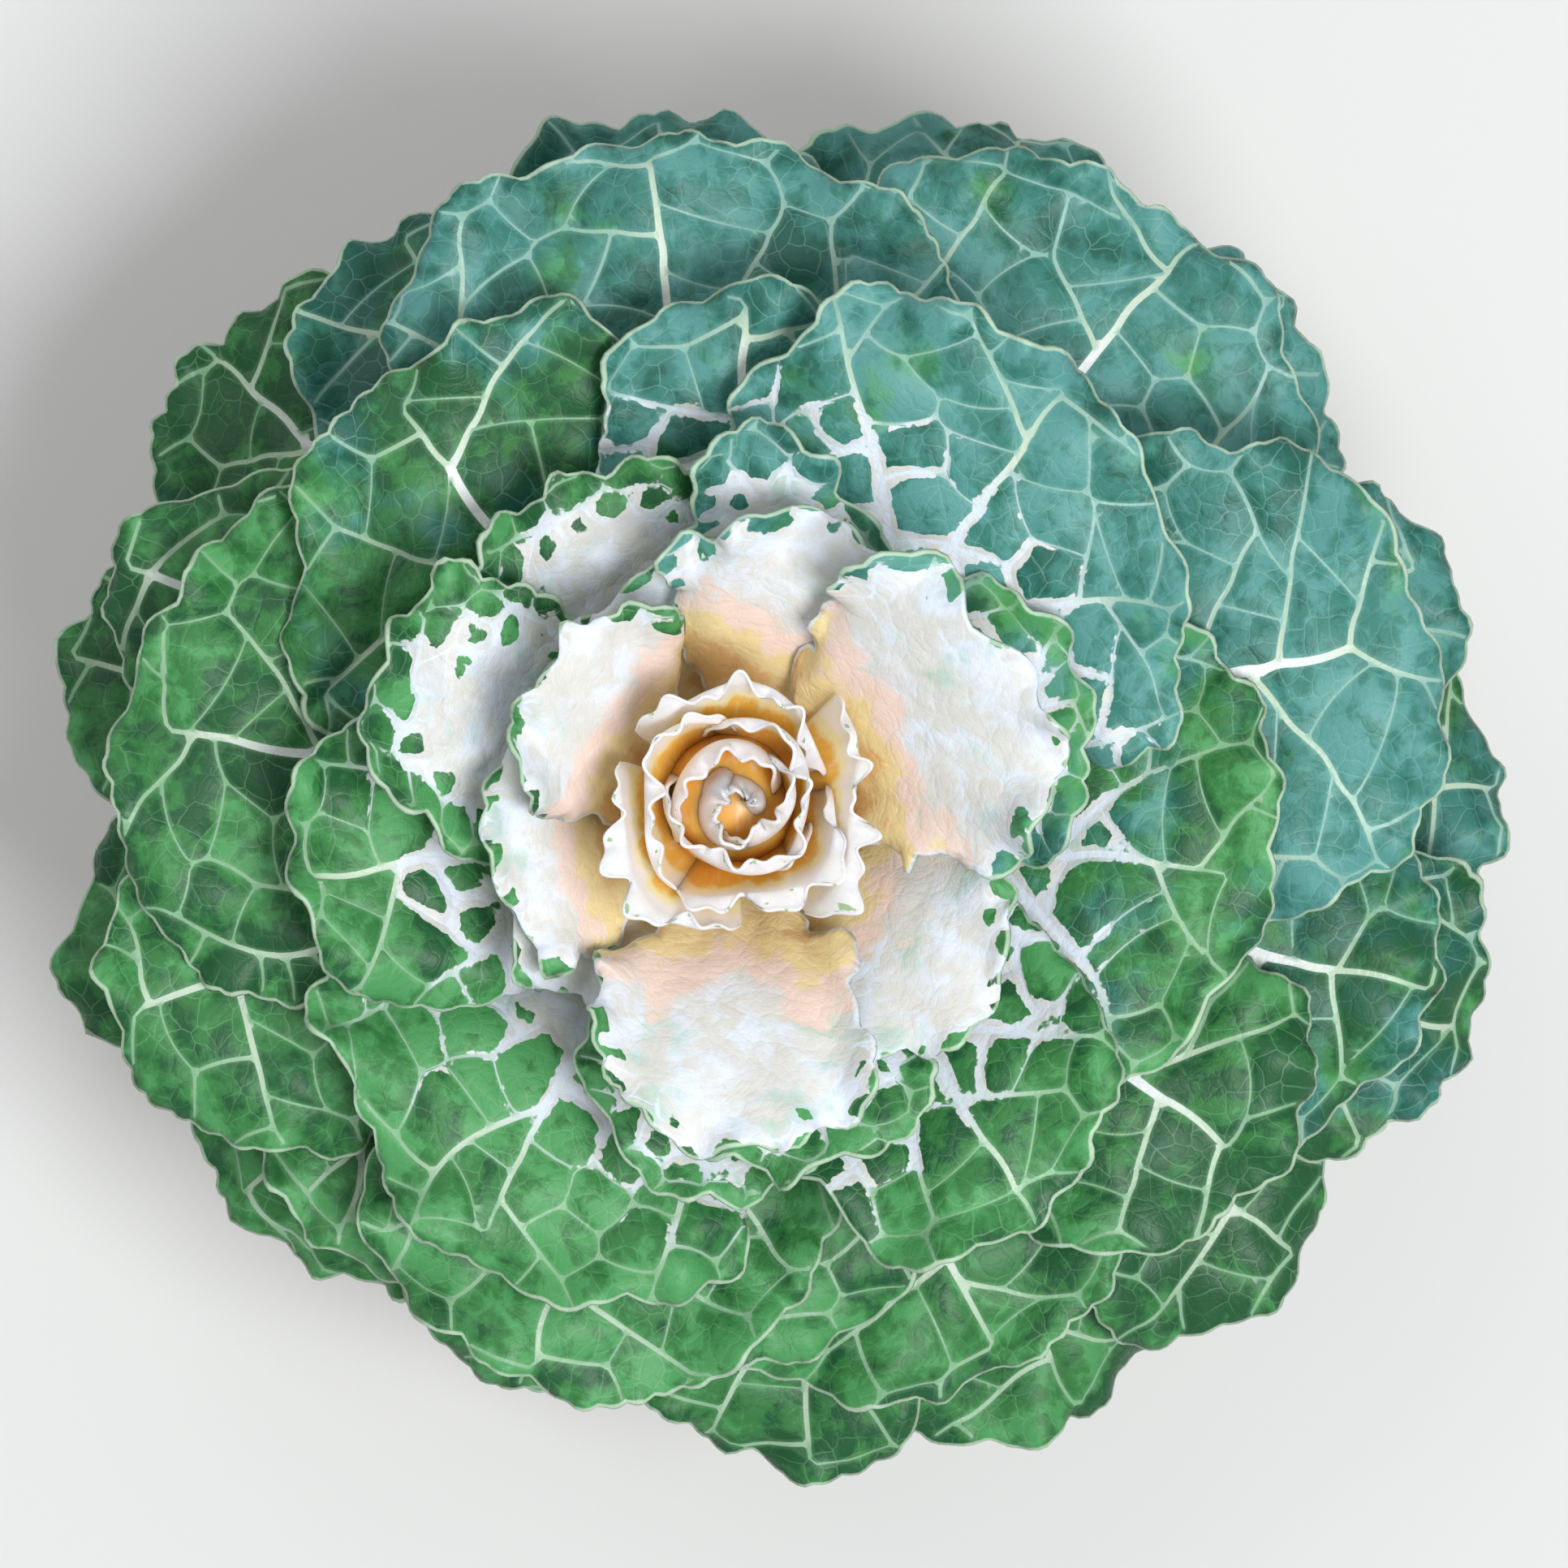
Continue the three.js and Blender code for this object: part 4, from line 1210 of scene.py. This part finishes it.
# The heart's leaves. Pairs run from the innermost leaf to the outermost, in millimetres and degrees: the
# inner ones close over the middle, as their belly is wider than their mouth, and the outer ones stay open.
HEART_LEAVES = 11
HEART_ROWS = 32
HEART_COLUMNS = 84
HEART_START = 60
HEART_FOOT = (3, 7)
HEART_BELLY = (8, 24.5)
HEART_MOUTH = (0.5, 29)
HEART_TOP = (43, 41)
HEART_WRAP = (120, 50)
HEART_WAVE = (1.1, 2.8)
HEART_LIP = (0.7, 2.9)
HEART_SINK = 2.5
HEART_SPIRAL = 2.2
HEART_SHOULDER = 13
HEART_LEAN = 3
HEART_UNEVEN = 1.5
HEART_CROWN = 3
HEART_WAVE_TURN = 4.5
HEART_WAVE_RISE = 1.1
HEART_DROOP = (0.3, 1.3)
HEART_NOTCH = 2.6
HEART_DRIFT = 1.2
HEART_BLADE, HEART_BLADE_LOSS = 0.5, 0.2
# The core that the heart's leaves stand out of: its half profile and how it is rounded.
HEART_CORE = [(0, 0), (9, 0), (12, 8), (15, 22), (12, 29), (5, 34), (0, 35)]
HEART_CORE_ROUND = 2
HEART_CORE_SIDES = 32
# The colour of depth below the lips is partly the heart's own tint and partly painted shade.
# How deep below the lips the core, the outsides and the middle of the heart are coloured.
CORE_DEPTH = 14
OUTSIDE_DEPTH = 0.55
MIDDLE_DEPTH = 2
GOLDEN_ANGLE = 137.508
TRAIT_HEART = 11


def bezier(a, b, c, d, share):
    """A cubic curve from a to d that b and c pull on."""
    rest = 1 - share
    return a * rest**3 + 3 * b * share * rest**2 + 3 * c * share**2 * rest + d * share**3


def heart_grid(index):
    """A heart leaf as a grid of points of its middle surface, foot to lip, and its height and side shares."""
    h = np.linspace(0, 1, HEART_ROWS)[:, None] ** 0.85
    a = np.linspace(-1, 1, HEART_COLUMNS)[None, :]
    age = index / (HEART_LEAVES - 1)
    own = [vary(index, TRAIT_HEART + k) for k in range(8)]
    start, curl_count, ruffle_start, frill_start, uneven, wave_count, east, north = own
    foot, mouth = blend(*HEART_FOOT, age), blend(*HEART_MOUTH, age**0.85)
    belly, top = blend(*HEART_BELLY, age**0.8), blend(*HEART_TOP, age) + HEART_UNEVEN * uneven
    waves = np.sin((HEART_WAVE_TURN + wave_count) * a + 3 * start)
    ruffle = np.sin(9 * a + 4 * ruffle_start + 1.5 * np.sin(3 * a)) + 0.6 * np.sin(23 * a + 5 * frill_start)
    lip = smooth(h, 0.8, 1) ** 2 * (1 - a**6)
    curl = 0.5 + 1.1 * np.sin((2.6 + curl_count) * a + 5 * wave_count) + 0.8 * ruffle
    notch = np.maximum(0, np.sin(11 * a + 6 * start + 2 * np.sin(4 * a))) ** 3
    radius = bezier(foot, blend(foot, belly, 0.45), belly * 1.2, mouth, h)
    radius = radius + h**2 * (HEART_SPIRAL * a + blend(*HEART_WAVE, age) * waves)
    radius = radius + lip * blend(*HEART_LIP, age) * curl
    crest = top - HEART_SINK - HEART_SHOULDER * a**6 - HEART_CROWN * a**2
    height = HEART_SINK + bezier(0, 0.33, 0.8, 1, h) * crest
    height = height + h**3 * (HEART_WAVE_RISE * waves + HEART_WAVE_RISE * ruffle)
    height = height - lip * (blend(*HEART_DROOP, age) + HEART_NOTCH * notch)
    turn = math.radians(HEART_START + GOLDEN_ANGLE * index) + a * math.radians(blend(*HEART_WRAP, age))
    x = radius * np.cos(turn) + h**2 * (HEART_DRIFT * east + HEART_LEAN * (1 - age))
    y = radius * np.sin(turn) + h**2 * (HEART_DRIFT * north - HEART_LEAN / 2 * (1 - age))
    points = np.stack([x, y, height], axis=-1)
    return points, np.broadcast_to(h, points.shape[:2]), np.broadcast_to(a, points.shape[:2])


def heart_piece():
    """The tight rose of small leaves, each a waved closed sheet round the core."""
    all_points, all_faces = [], []
    layers = {"depth": [], "fleck": [], "flat": []}
    base = HEART_LOW[2]
    core, core_faces = turned_body(rounded(HEART_CORE, HEART_CORE_ROUND), HEART_CORE_SIDES)
    all_points.append(core + [0, 0, base])
    all_faces.append(core_faces)
    layers["depth"].append(np.full(len(core), CORE_DEPTH))
    layers["fleck"].append(np.zeros(len(core)))
    layers["flat"].append(core)
    offset = len(core)
    for index in range(HEART_LEAVES):
        points, h, a = heart_grid(index)
        rows, columns = h.shape
        along, across = np.gradient(points, axis=0), np.gradient(points, axis=1)
        normal = np.cross(across, along)
        normal /= np.linalg.norm(normal, axis=2)[..., None]
        thick = (HEART_BLADE - HEART_BLADE_LOSS * smooth(h, 0.7, 1))[..., None]
        inner = (points - normal * thick).reshape(-1, 3)
        outer = (points + normal * thick).reshape(-1, 3)
        k = np.arange(rows * columns).reshape(rows, columns)
        p, q, r, s = k[:-1, :-1].ravel(), k[:-1, 1:].ravel(), k[1:, 1:].ravel(), k[1:, :-1].ravel()
        grid = np.vstack([np.column_stack([p, q, r]), np.column_stack([p, r, s])])
        sheet, faces = shell(outer, inner, grid)
        all_points.append(sheet + [0, 0, base])
        all_faces.append(faces + offset)
        offset += len(sheet)
        lip_height = points[-1:, :, 2]
        # Depth below the lip, which the finish paints partly as shade; the outsides take less of it.
        depth = (lip_height - points[:, :, 2]).ravel() + MIDDLE_DEPTH * (1 - index / (HEART_LEAVES - 1))
        layers["depth"].append(np.concatenate([OUTSIDE_DEPTH * depth, depth]))
        layers["fleck"].append(np.tile(smooth(h, 0.8, 1).ravel(), 2))
        flat = np.column_stack([a.ravel() * 30 + 90 * index, h.ravel() * 40, np.zeros(h.size)])
        layers["flat"].append(np.tile(flat, (2, 1)))
    layers = {name: np.concatenate(values) for name, values in layers.items()}
    return mesh_object("heart_rose", np.vstack(all_points), np.vstack(all_faces), layers)


def length(name, description, default):
    """A setting that is a length of up to a metre."""
    return bpy.props.FloatProperty(
        name=name, description=description, default=default, min=0, max=1, unit="LENGTH", subtype="DISTANCE"
    )


def number(name, description, default, low=0.0, high=10.0):
    """A setting that is a plain number."""
    return bpy.props.FloatProperty(name=name, description=description, default=default, min=low, max=high)


def color(name, description, code):
    """A setting that is a colour, from its hexadecimal code."""
    return bpy.props.FloatVectorProperty(
        name=name, description=description, default=tint(code), min=0, max=1, size=3, subtype="COLOR"
    )


class LeafSettings(bpy.types.PropertyGroup):
    """Sizes and colours of the leaves."""

    blade: length("Blade", "Thickness of a blade", 0.0009)
    frill: length("Frill", "Height of the small waves along a margin", 0.0027)
    puff: number("Puff", "How far the cells between the veins puff up, as a share of the usual", 1.0)
    cell_scale: number("Cell Size", "Width of the cells of the net, as a share of the usual", 1.0, 0.5)
    # The deep colours also carry painted shade: the outer tiers take more of them.
    green: color("Green", "Green of the lower leaves", 0x36773F)
    deep_green: color("Deep Green", "Darkest green of the lower leaves", 0x205732)
    light_green: color("Light Green", "Lightest green of the lower leaves", 0x4D9659)
    pale_green: color("Pale Green", "Thin veins on green leaves", 0x7FAD84)
    # The blue-greens are the leaves' bloom with painted sky reflection on one side of the plant.
    teal: color("Teal", "Blue-green of the bloomed leaves", 0x3A7A6F)
    deep_teal: color("Deep Teal", "Darkest blue-green", 0x266053)
    light_teal: color("Light Teal", "Lightest blue-green", 0x55928D)
    pale_teal: color("Pale Teal", "Thin veins on blue-green leaves", 0x86B1A6)
    vein: color("Vein", "Midribs and thick veins", 0xE4E8E6)
    margin: color("Margin", "Thin line round a leaf", 0xBACDB6)
    under: color("Underside", "Underside of a leaf", 0x7FA78B)
    cream: color("Cream", "Cream part of the inner leaves", 0xCFCEC9)
    white: color("White", "Lightest part of the inner leaves", 0xD6DEE9)
    # The pink, yellow and orange of the cream leaves' feet are partly their own tint and partly painted
    # shade.
    pink: color("Pink", "Flush of the innermost leaves", 0xE0CABE)
    yellow: color("Yellow", "Foot of the innermost leaves", 0xDFCB97)
    orange: color("Orange", "Deep down between the innermost leaves", 0xD2AC74)


class HeartSettings(bpy.types.PropertyGroup):
    """Colours of the heart."""

    white: color("Lip", "Lips of the heart's leaves", 0xF6F3EE)
    cream: color("Cream", "Streaks of the heart's leaves", 0xF0EAE2)
    # Below the lips the colours are partly the heart's own tint and partly painted shade.
    pink: color("Pink", "Just below the lips", 0xF8E6DA)
    yellow: color("Yellow", "Half way down", 0xF6E0AE)
    orange: color("Orange", "Deep down", 0xE9A94C)
    light_green: color("Fleck", "Green flecks near the lips", 0x86AD84)


class PotSettings(bpy.types.PropertyGroup):
    """Colours of the pot, the soil and the stalk."""

    clay: color("Clay", "Fired clay", 0xB5643F)
    clay_light: color("Light Clay", "Lighter clouds of the clay", 0xC97F57)
    clay_dark: color("Dark Clay", "Dark specks of the clay", 0x8A4529)
    salt: color("Salt", "Pale salt on the clay and grains in the soil", 0xD9C6B2)
    soil: color("Soil", "Peat", 0x2A1F18)
    bark: color("Bark", "Bark in the soil", 0x4C382A)
    pale_green: color("Stalk", "Skin of the stalk", 0xA9B98A)
    scar: color("Scar", "Leaf scars on the stalk", 0x9A9070)


class StageSettings(bpy.types.PropertyGroup):
    """Floor, light and camera."""

    floor: color("Floor", "Pale floor", 0xE8E8E6)
    lens: number("Lens", "Focal length of the camera in mm", 150.0, 20.0, 400.0)
    frame_width: length("Frame Width", "Width that the camera sees at the height of the outer leaves", 0.3613)


class PlantSettings(bpy.types.PropertyGroup):
    """All settings of the plant."""

    leaves: bpy.props.PointerProperty(type=LeafSettings)
    heart: bpy.props.PointerProperty(type=HeartSettings)
    pot: bpy.props.PointerProperty(type=PotSettings)
    stage: bpy.props.PointerProperty(type=StageSettings)


# The pot's rounded edges and its drain holes.
RIM_BEVEL = 2
BAND_BEVEL = 1.5
POT_ROUND = 1.6
POT_SIDES = 144
DRAIN_HOLES = 4
DRAIN_SIDES = 40


class PLANT_OT_pot(bpy.types.Operator):
    """Builds the clay pot with its rim and drain holes"""

    bl_idname = "plant.pot"
    bl_label = "Pot"

    def execute(self, context):
        band = POT_HEIGHT - RIM_BAND
        profile = [
            (0, 0),
            (FOOT_RADIUS, 0),
            (RIM_RADIUS - RIM_STEP, band),
            (RIM_RADIUS - BAND_BEVEL, band + BAND_BEVEL),
            (RIM_RADIUS, POT_HEIGHT - RIM_BEVEL),
            (RIM_RADIUS - RIM_BEVEL, POT_HEIGHT),
            (inside_radius(POT_HEIGHT), POT_HEIGHT),
            (inside_radius(FLOOR), FLOOR),
            (0, FLOOR),
        ]
        piece = mesh_object("pot_body", *turned_body(rounded(profile, POT_ROUND), POT_SIDES))
        cutters = []
        for k in range(DRAIN_HOLES):
            turn = 2 * math.pi * (k + 0.5) / DRAIN_HOLES
            place = (DRAIN_CIRCLE * math.cos(turn) * MM, DRAIN_CIRCLE * math.sin(turn) * MM, FLOOR / 2 * MM)
            bpy.ops.mesh.primitive_cylinder_add(
                vertices=DRAIN_SIDES, radius=DRAIN_RADIUS * MM, depth=FLOOR * 3 * MM, location=place
            )
            cutters.append(context.object)
        for cutter in cutters:
            cut = piece.modifiers.new("drain", "BOOLEAN")
            cut.operation = "DIFFERENCE"
            cut.solver = "EXACT"
            cut.object = cutter
        context.view_layer.objects.active = piece
        for cut in list(piece.modifiers):
            bpy.ops.object.modifier_apply(modifier=cut.name)
        for cutter in cutters:
            bpy.data.objects.remove(cutter)
        dress(piece, "pot", clay_finish(context.scene.cabbage.pot))
        return {"FINISHED"}


# The soil: its gaps to the pot and the stalk, its grid, how high its lumps and crumbles are, and its crumbs.
SEAT_GAP = 0.3
SOIL_INSET = 0.9
SOIL_RINGS = 40
SOIL_SIDES = 108
LUMP = 2.4
CRUMBLE = 1.1
CRUMBS = 500
CRUMB_INSET = 4


def soil_lump(x, y):
    """How far the soil's surface rises at a place in plan."""
    return LUMP * (np.sin(0.21 * x + 1.3) * np.cos(0.17 * y - 0.6) + 0.7 * np.sin(0.34 * y + 0.11 * x))


class PLANT_OT_soil(bpy.types.Operator):
    """Builds the soil, lumpy on top, with crumbs of peat and bark"""

    bl_idname = "plant.soil"
    bl_label = "Soil"

    def execute(self, context):
        rng = np.random.default_rng(7)
        hole = STALK_RADIUS + SEAT_GAP
        edge = inside_radius(SOIL_TOP) - SOIL_INSET
        bottom = FLOOR + SEAT_GAP
        hole_bottom = STALK_LOW[2] - SEAT_GAP
        profile = [(0, bottom), (inside_radius(FLOOR) - SEAT_GAP, bottom)]
        profile += [(blend(edge, hole, k / SOIL_RINGS), SOIL_TOP) for k in range(SOIL_RINGS + 1)]
        profile += [(hole, hole_bottom), (0, hole_bottom)]
        points, faces = turned_body(profile, SOIL_SIDES)
        top = np.abs(points[:, 2] - SOIL_TOP) < 0.01
        spots = [Vector(point) for point in points]
        crumble = np.array([noise.noise(spot * 0.3) + 0.6 * noise.noise(spot * 0.9) for spot in spots])
        points[top, 2] += (soil_lump(points[:, 0], points[:, 1]) + CRUMBLE * crumble)[top]
        all_points, all_faces = [points], [faces]
        ball = bmesh.new()
        bmesh.ops.create_icosphere(ball, subdivisions=1, radius=1)
        form = np.array([vertex.co[:] for vertex in ball.verts])
        sides = np.array([[vertex.index for vertex in face.verts] for face in ball.faces])
        ball.free()
        offset = len(points)
        for _ in range(CRUMBS):
            turn, radius = rng.uniform(0, 2 * math.pi), math.sqrt(rng.uniform(0.05, 1)) * (edge - CRUMB_INSET)
            x, y = radius * math.cos(turn), radius * math.sin(turn)
            size = rng.uniform(0.7, 2.2) * rng.uniform(0.6, 1.4, 3)
            crumb = form * size * rng.uniform(0.8, 1.2, (len(form), 1))
            all_points.append(crumb + [x, y, SOIL_TOP + soil_lump(x, y)])
            all_faces.append(sides + offset)
            offset += len(form)
        piece = mesh_object("soil_fill", np.vstack(all_points), np.vstack(all_faces))
        dress(piece, "soil", soil_finish(context.scene.cabbage.pot))
        return {"FINISHED"}


class PLANT_OT_stalk(bpy.types.Operator):
    """Builds the stalk with the scars of shed leaves"""

    bl_idname = "plant.stalk"
    bl_label = "Stalk"

    def execute(self, context):
        low, high = STALK_LOW[2], STALK_HIGH[2]
        profile = [(0, low), (STALK_RADIUS * 0.7, low), (STALK_RADIUS * 0.96, low + 6)]
        profile += [
            (STALK_RADIUS * (0.975 + 0.02 * math.sin(height * 1.1)), height)
            for height in np.arange(low + 8, high - 1, 1.5)
        ]
        profile += [(STALK_RADIUS * 0.96, high), (0, high)]
        piece = mesh_object("stalk_stem", *turned_body(profile, 64))
        dress(piece, "stalk", stalk_finish(context.scene.cabbage.pot))
        return {"FINISHED"}


class PLANT_OT_leaves(bpy.types.Operator):
    """Builds every leaf with its net of veins, from the lowest up"""

    bl_idname = "plant.leaves"
    bl_label = "Leaves"

    def execute(self, context):
        settings = context.scene.cabbage.leaves
        finishes = {tier: leaf_finish(tier, settings) for tier in TIERS}
        ground = Ground()
        for leaf in all_leaves():
            piece = leaf_piece(leaf, ground, settings)
            dress(piece, leaf.name, finishes[leaf.tier])
        return {"FINISHED"}


class PLANT_OT_heart(bpy.types.Operator):
    """Builds the tight rose of leaves in the middle"""

    bl_idname = "plant.heart"
    bl_label = "Heart"

    def execute(self, context):
        dress(heart_piece(), "heart", heart_finish(context.scene.cabbage.heart))
        return {"FINISHED"}


# The stage, in metres: the floor's side, the middle of the frame in plan, the height of the outer leaves,
# where the frame's width is measured, and the height that the lights look at.
FLOOR_SIDE = 8
FRAME_MIDDLE = (0.0114, 0.0036)
LEAF_LEVEL = 0.17
LIT_LEVEL = 0.18
# The camera's sensor in millimetres, and how strong the even light from all round is.
SENSOR = 36
WORLD_STRENGTH = 0.4


class PLANT_OT_stage(bpy.types.Operator):
    """Sets up the floor, the soft light and the camera straight above the plant"""

    bl_idname = "plant.stage"
    bl_label = "Stage"

    def execute(self, context):
        settings = context.scene.cabbage.stage
        scene = context.scene
        scene.view_settings.view_transform = "Standard"
        bpy.ops.mesh.primitive_plane_add(size=FLOOR_SIDE)
        floor = context.object
        floor.name = "floor"
        f = Finish("floor")
        place = f.node("ShaderNodeTexCoord", output="Object")
        cloud = f.noise(place, 3, 3)
        floor.data.materials.append(f.surface(f.mix(cloud, settings.floor, tint(0xDFDFDD)), 0.9))
        world = bpy.data.worlds.new("studio")
        world.use_nodes = True
        sky = world.node_tree.nodes["Background"]
        sky.inputs["Color"].default_value = (0.93, 0.96, 1, 1)
        sky.inputs["Strength"].default_value = WORLD_STRENGTH
        scene.world = world
        soft_light("key", (0.37, -0.29, 1.38), 0.45, 15, (0.97, 0.99, 1))
        soft_light("fill", (-0.5, 0.8, 1.3), 1.2, 6, (1, 0.99, 0.97))
        camera = bpy.data.cameras.new("camera")
        camera.lens = settings.lens
        camera.sensor_width = SENSOR
        eye = bpy.data.objects.new("camera", camera)
        scene.collection.objects.link(eye)
        distance = settings.frame_width / 2 / (SENSOR / 2 / camera.lens)
        eye.location = (*FRAME_MIDDLE, LEAF_LEVEL + distance)
        camera.clip_end = 20
        scene.camera = eye
        return {"FINISHED"}


def soft_light(name, place, size, power, tone):
    """A square soft light that looks at the plant."""
    light = bpy.data.lights.new(name, "AREA")
    light.shape = "SQUARE"
    light.size = size
    light.energy = power
    light.color = tone
    lamp = bpy.data.objects.new(name, light)
    lamp.location = place
    lamp.rotation_euler = (Vector((0, 0, LIT_LEVEL)) - Vector(place)).to_track_quat("-Z", "Y").to_euler()
    bpy.context.scene.collection.objects.link(lamp)


class PLANT_PT_panel(bpy.types.Panel):
    """Lists the pieces in the sidebar"""

    bl_idname = "PLANT_PT_panel"
    bl_label = "Potted Cabbage"
    bl_space_type = "VIEW_3D"
    bl_region_type = "UI"
    bl_category = "Cabbage"

    def draw(self, context):
        for operator in OPERATORS:
            self.layout.operator(operator.bl_idname)


OPERATORS = (PLANT_OT_pot, PLANT_OT_soil, PLANT_OT_stalk, PLANT_OT_leaves, PLANT_OT_heart, PLANT_OT_stage)
CLASSES = (LeafSettings, HeartSettings, PotSettings, StageSettings, PlantSettings, *OPERATORS, PLANT_PT_panel)


def register():
    for made in CLASSES:
        bpy.utils.register_class(made)
    bpy.types.Scene.cabbage = bpy.props.PointerProperty(type=PlantSettings)


def unregister():
    del bpy.types.Scene.cabbage
    for made in reversed(CLASSES):
        bpy.utils.unregister_class(made)


def main():
    register()
    bpy.ops.plant.pot()
    bpy.ops.plant.soil()
    bpy.ops.plant.stalk()
    bpy.ops.plant.leaves()
    bpy.ops.plant.heart()
    bpy.ops.plant.stage()


if __name__ == "__main__":
    main()
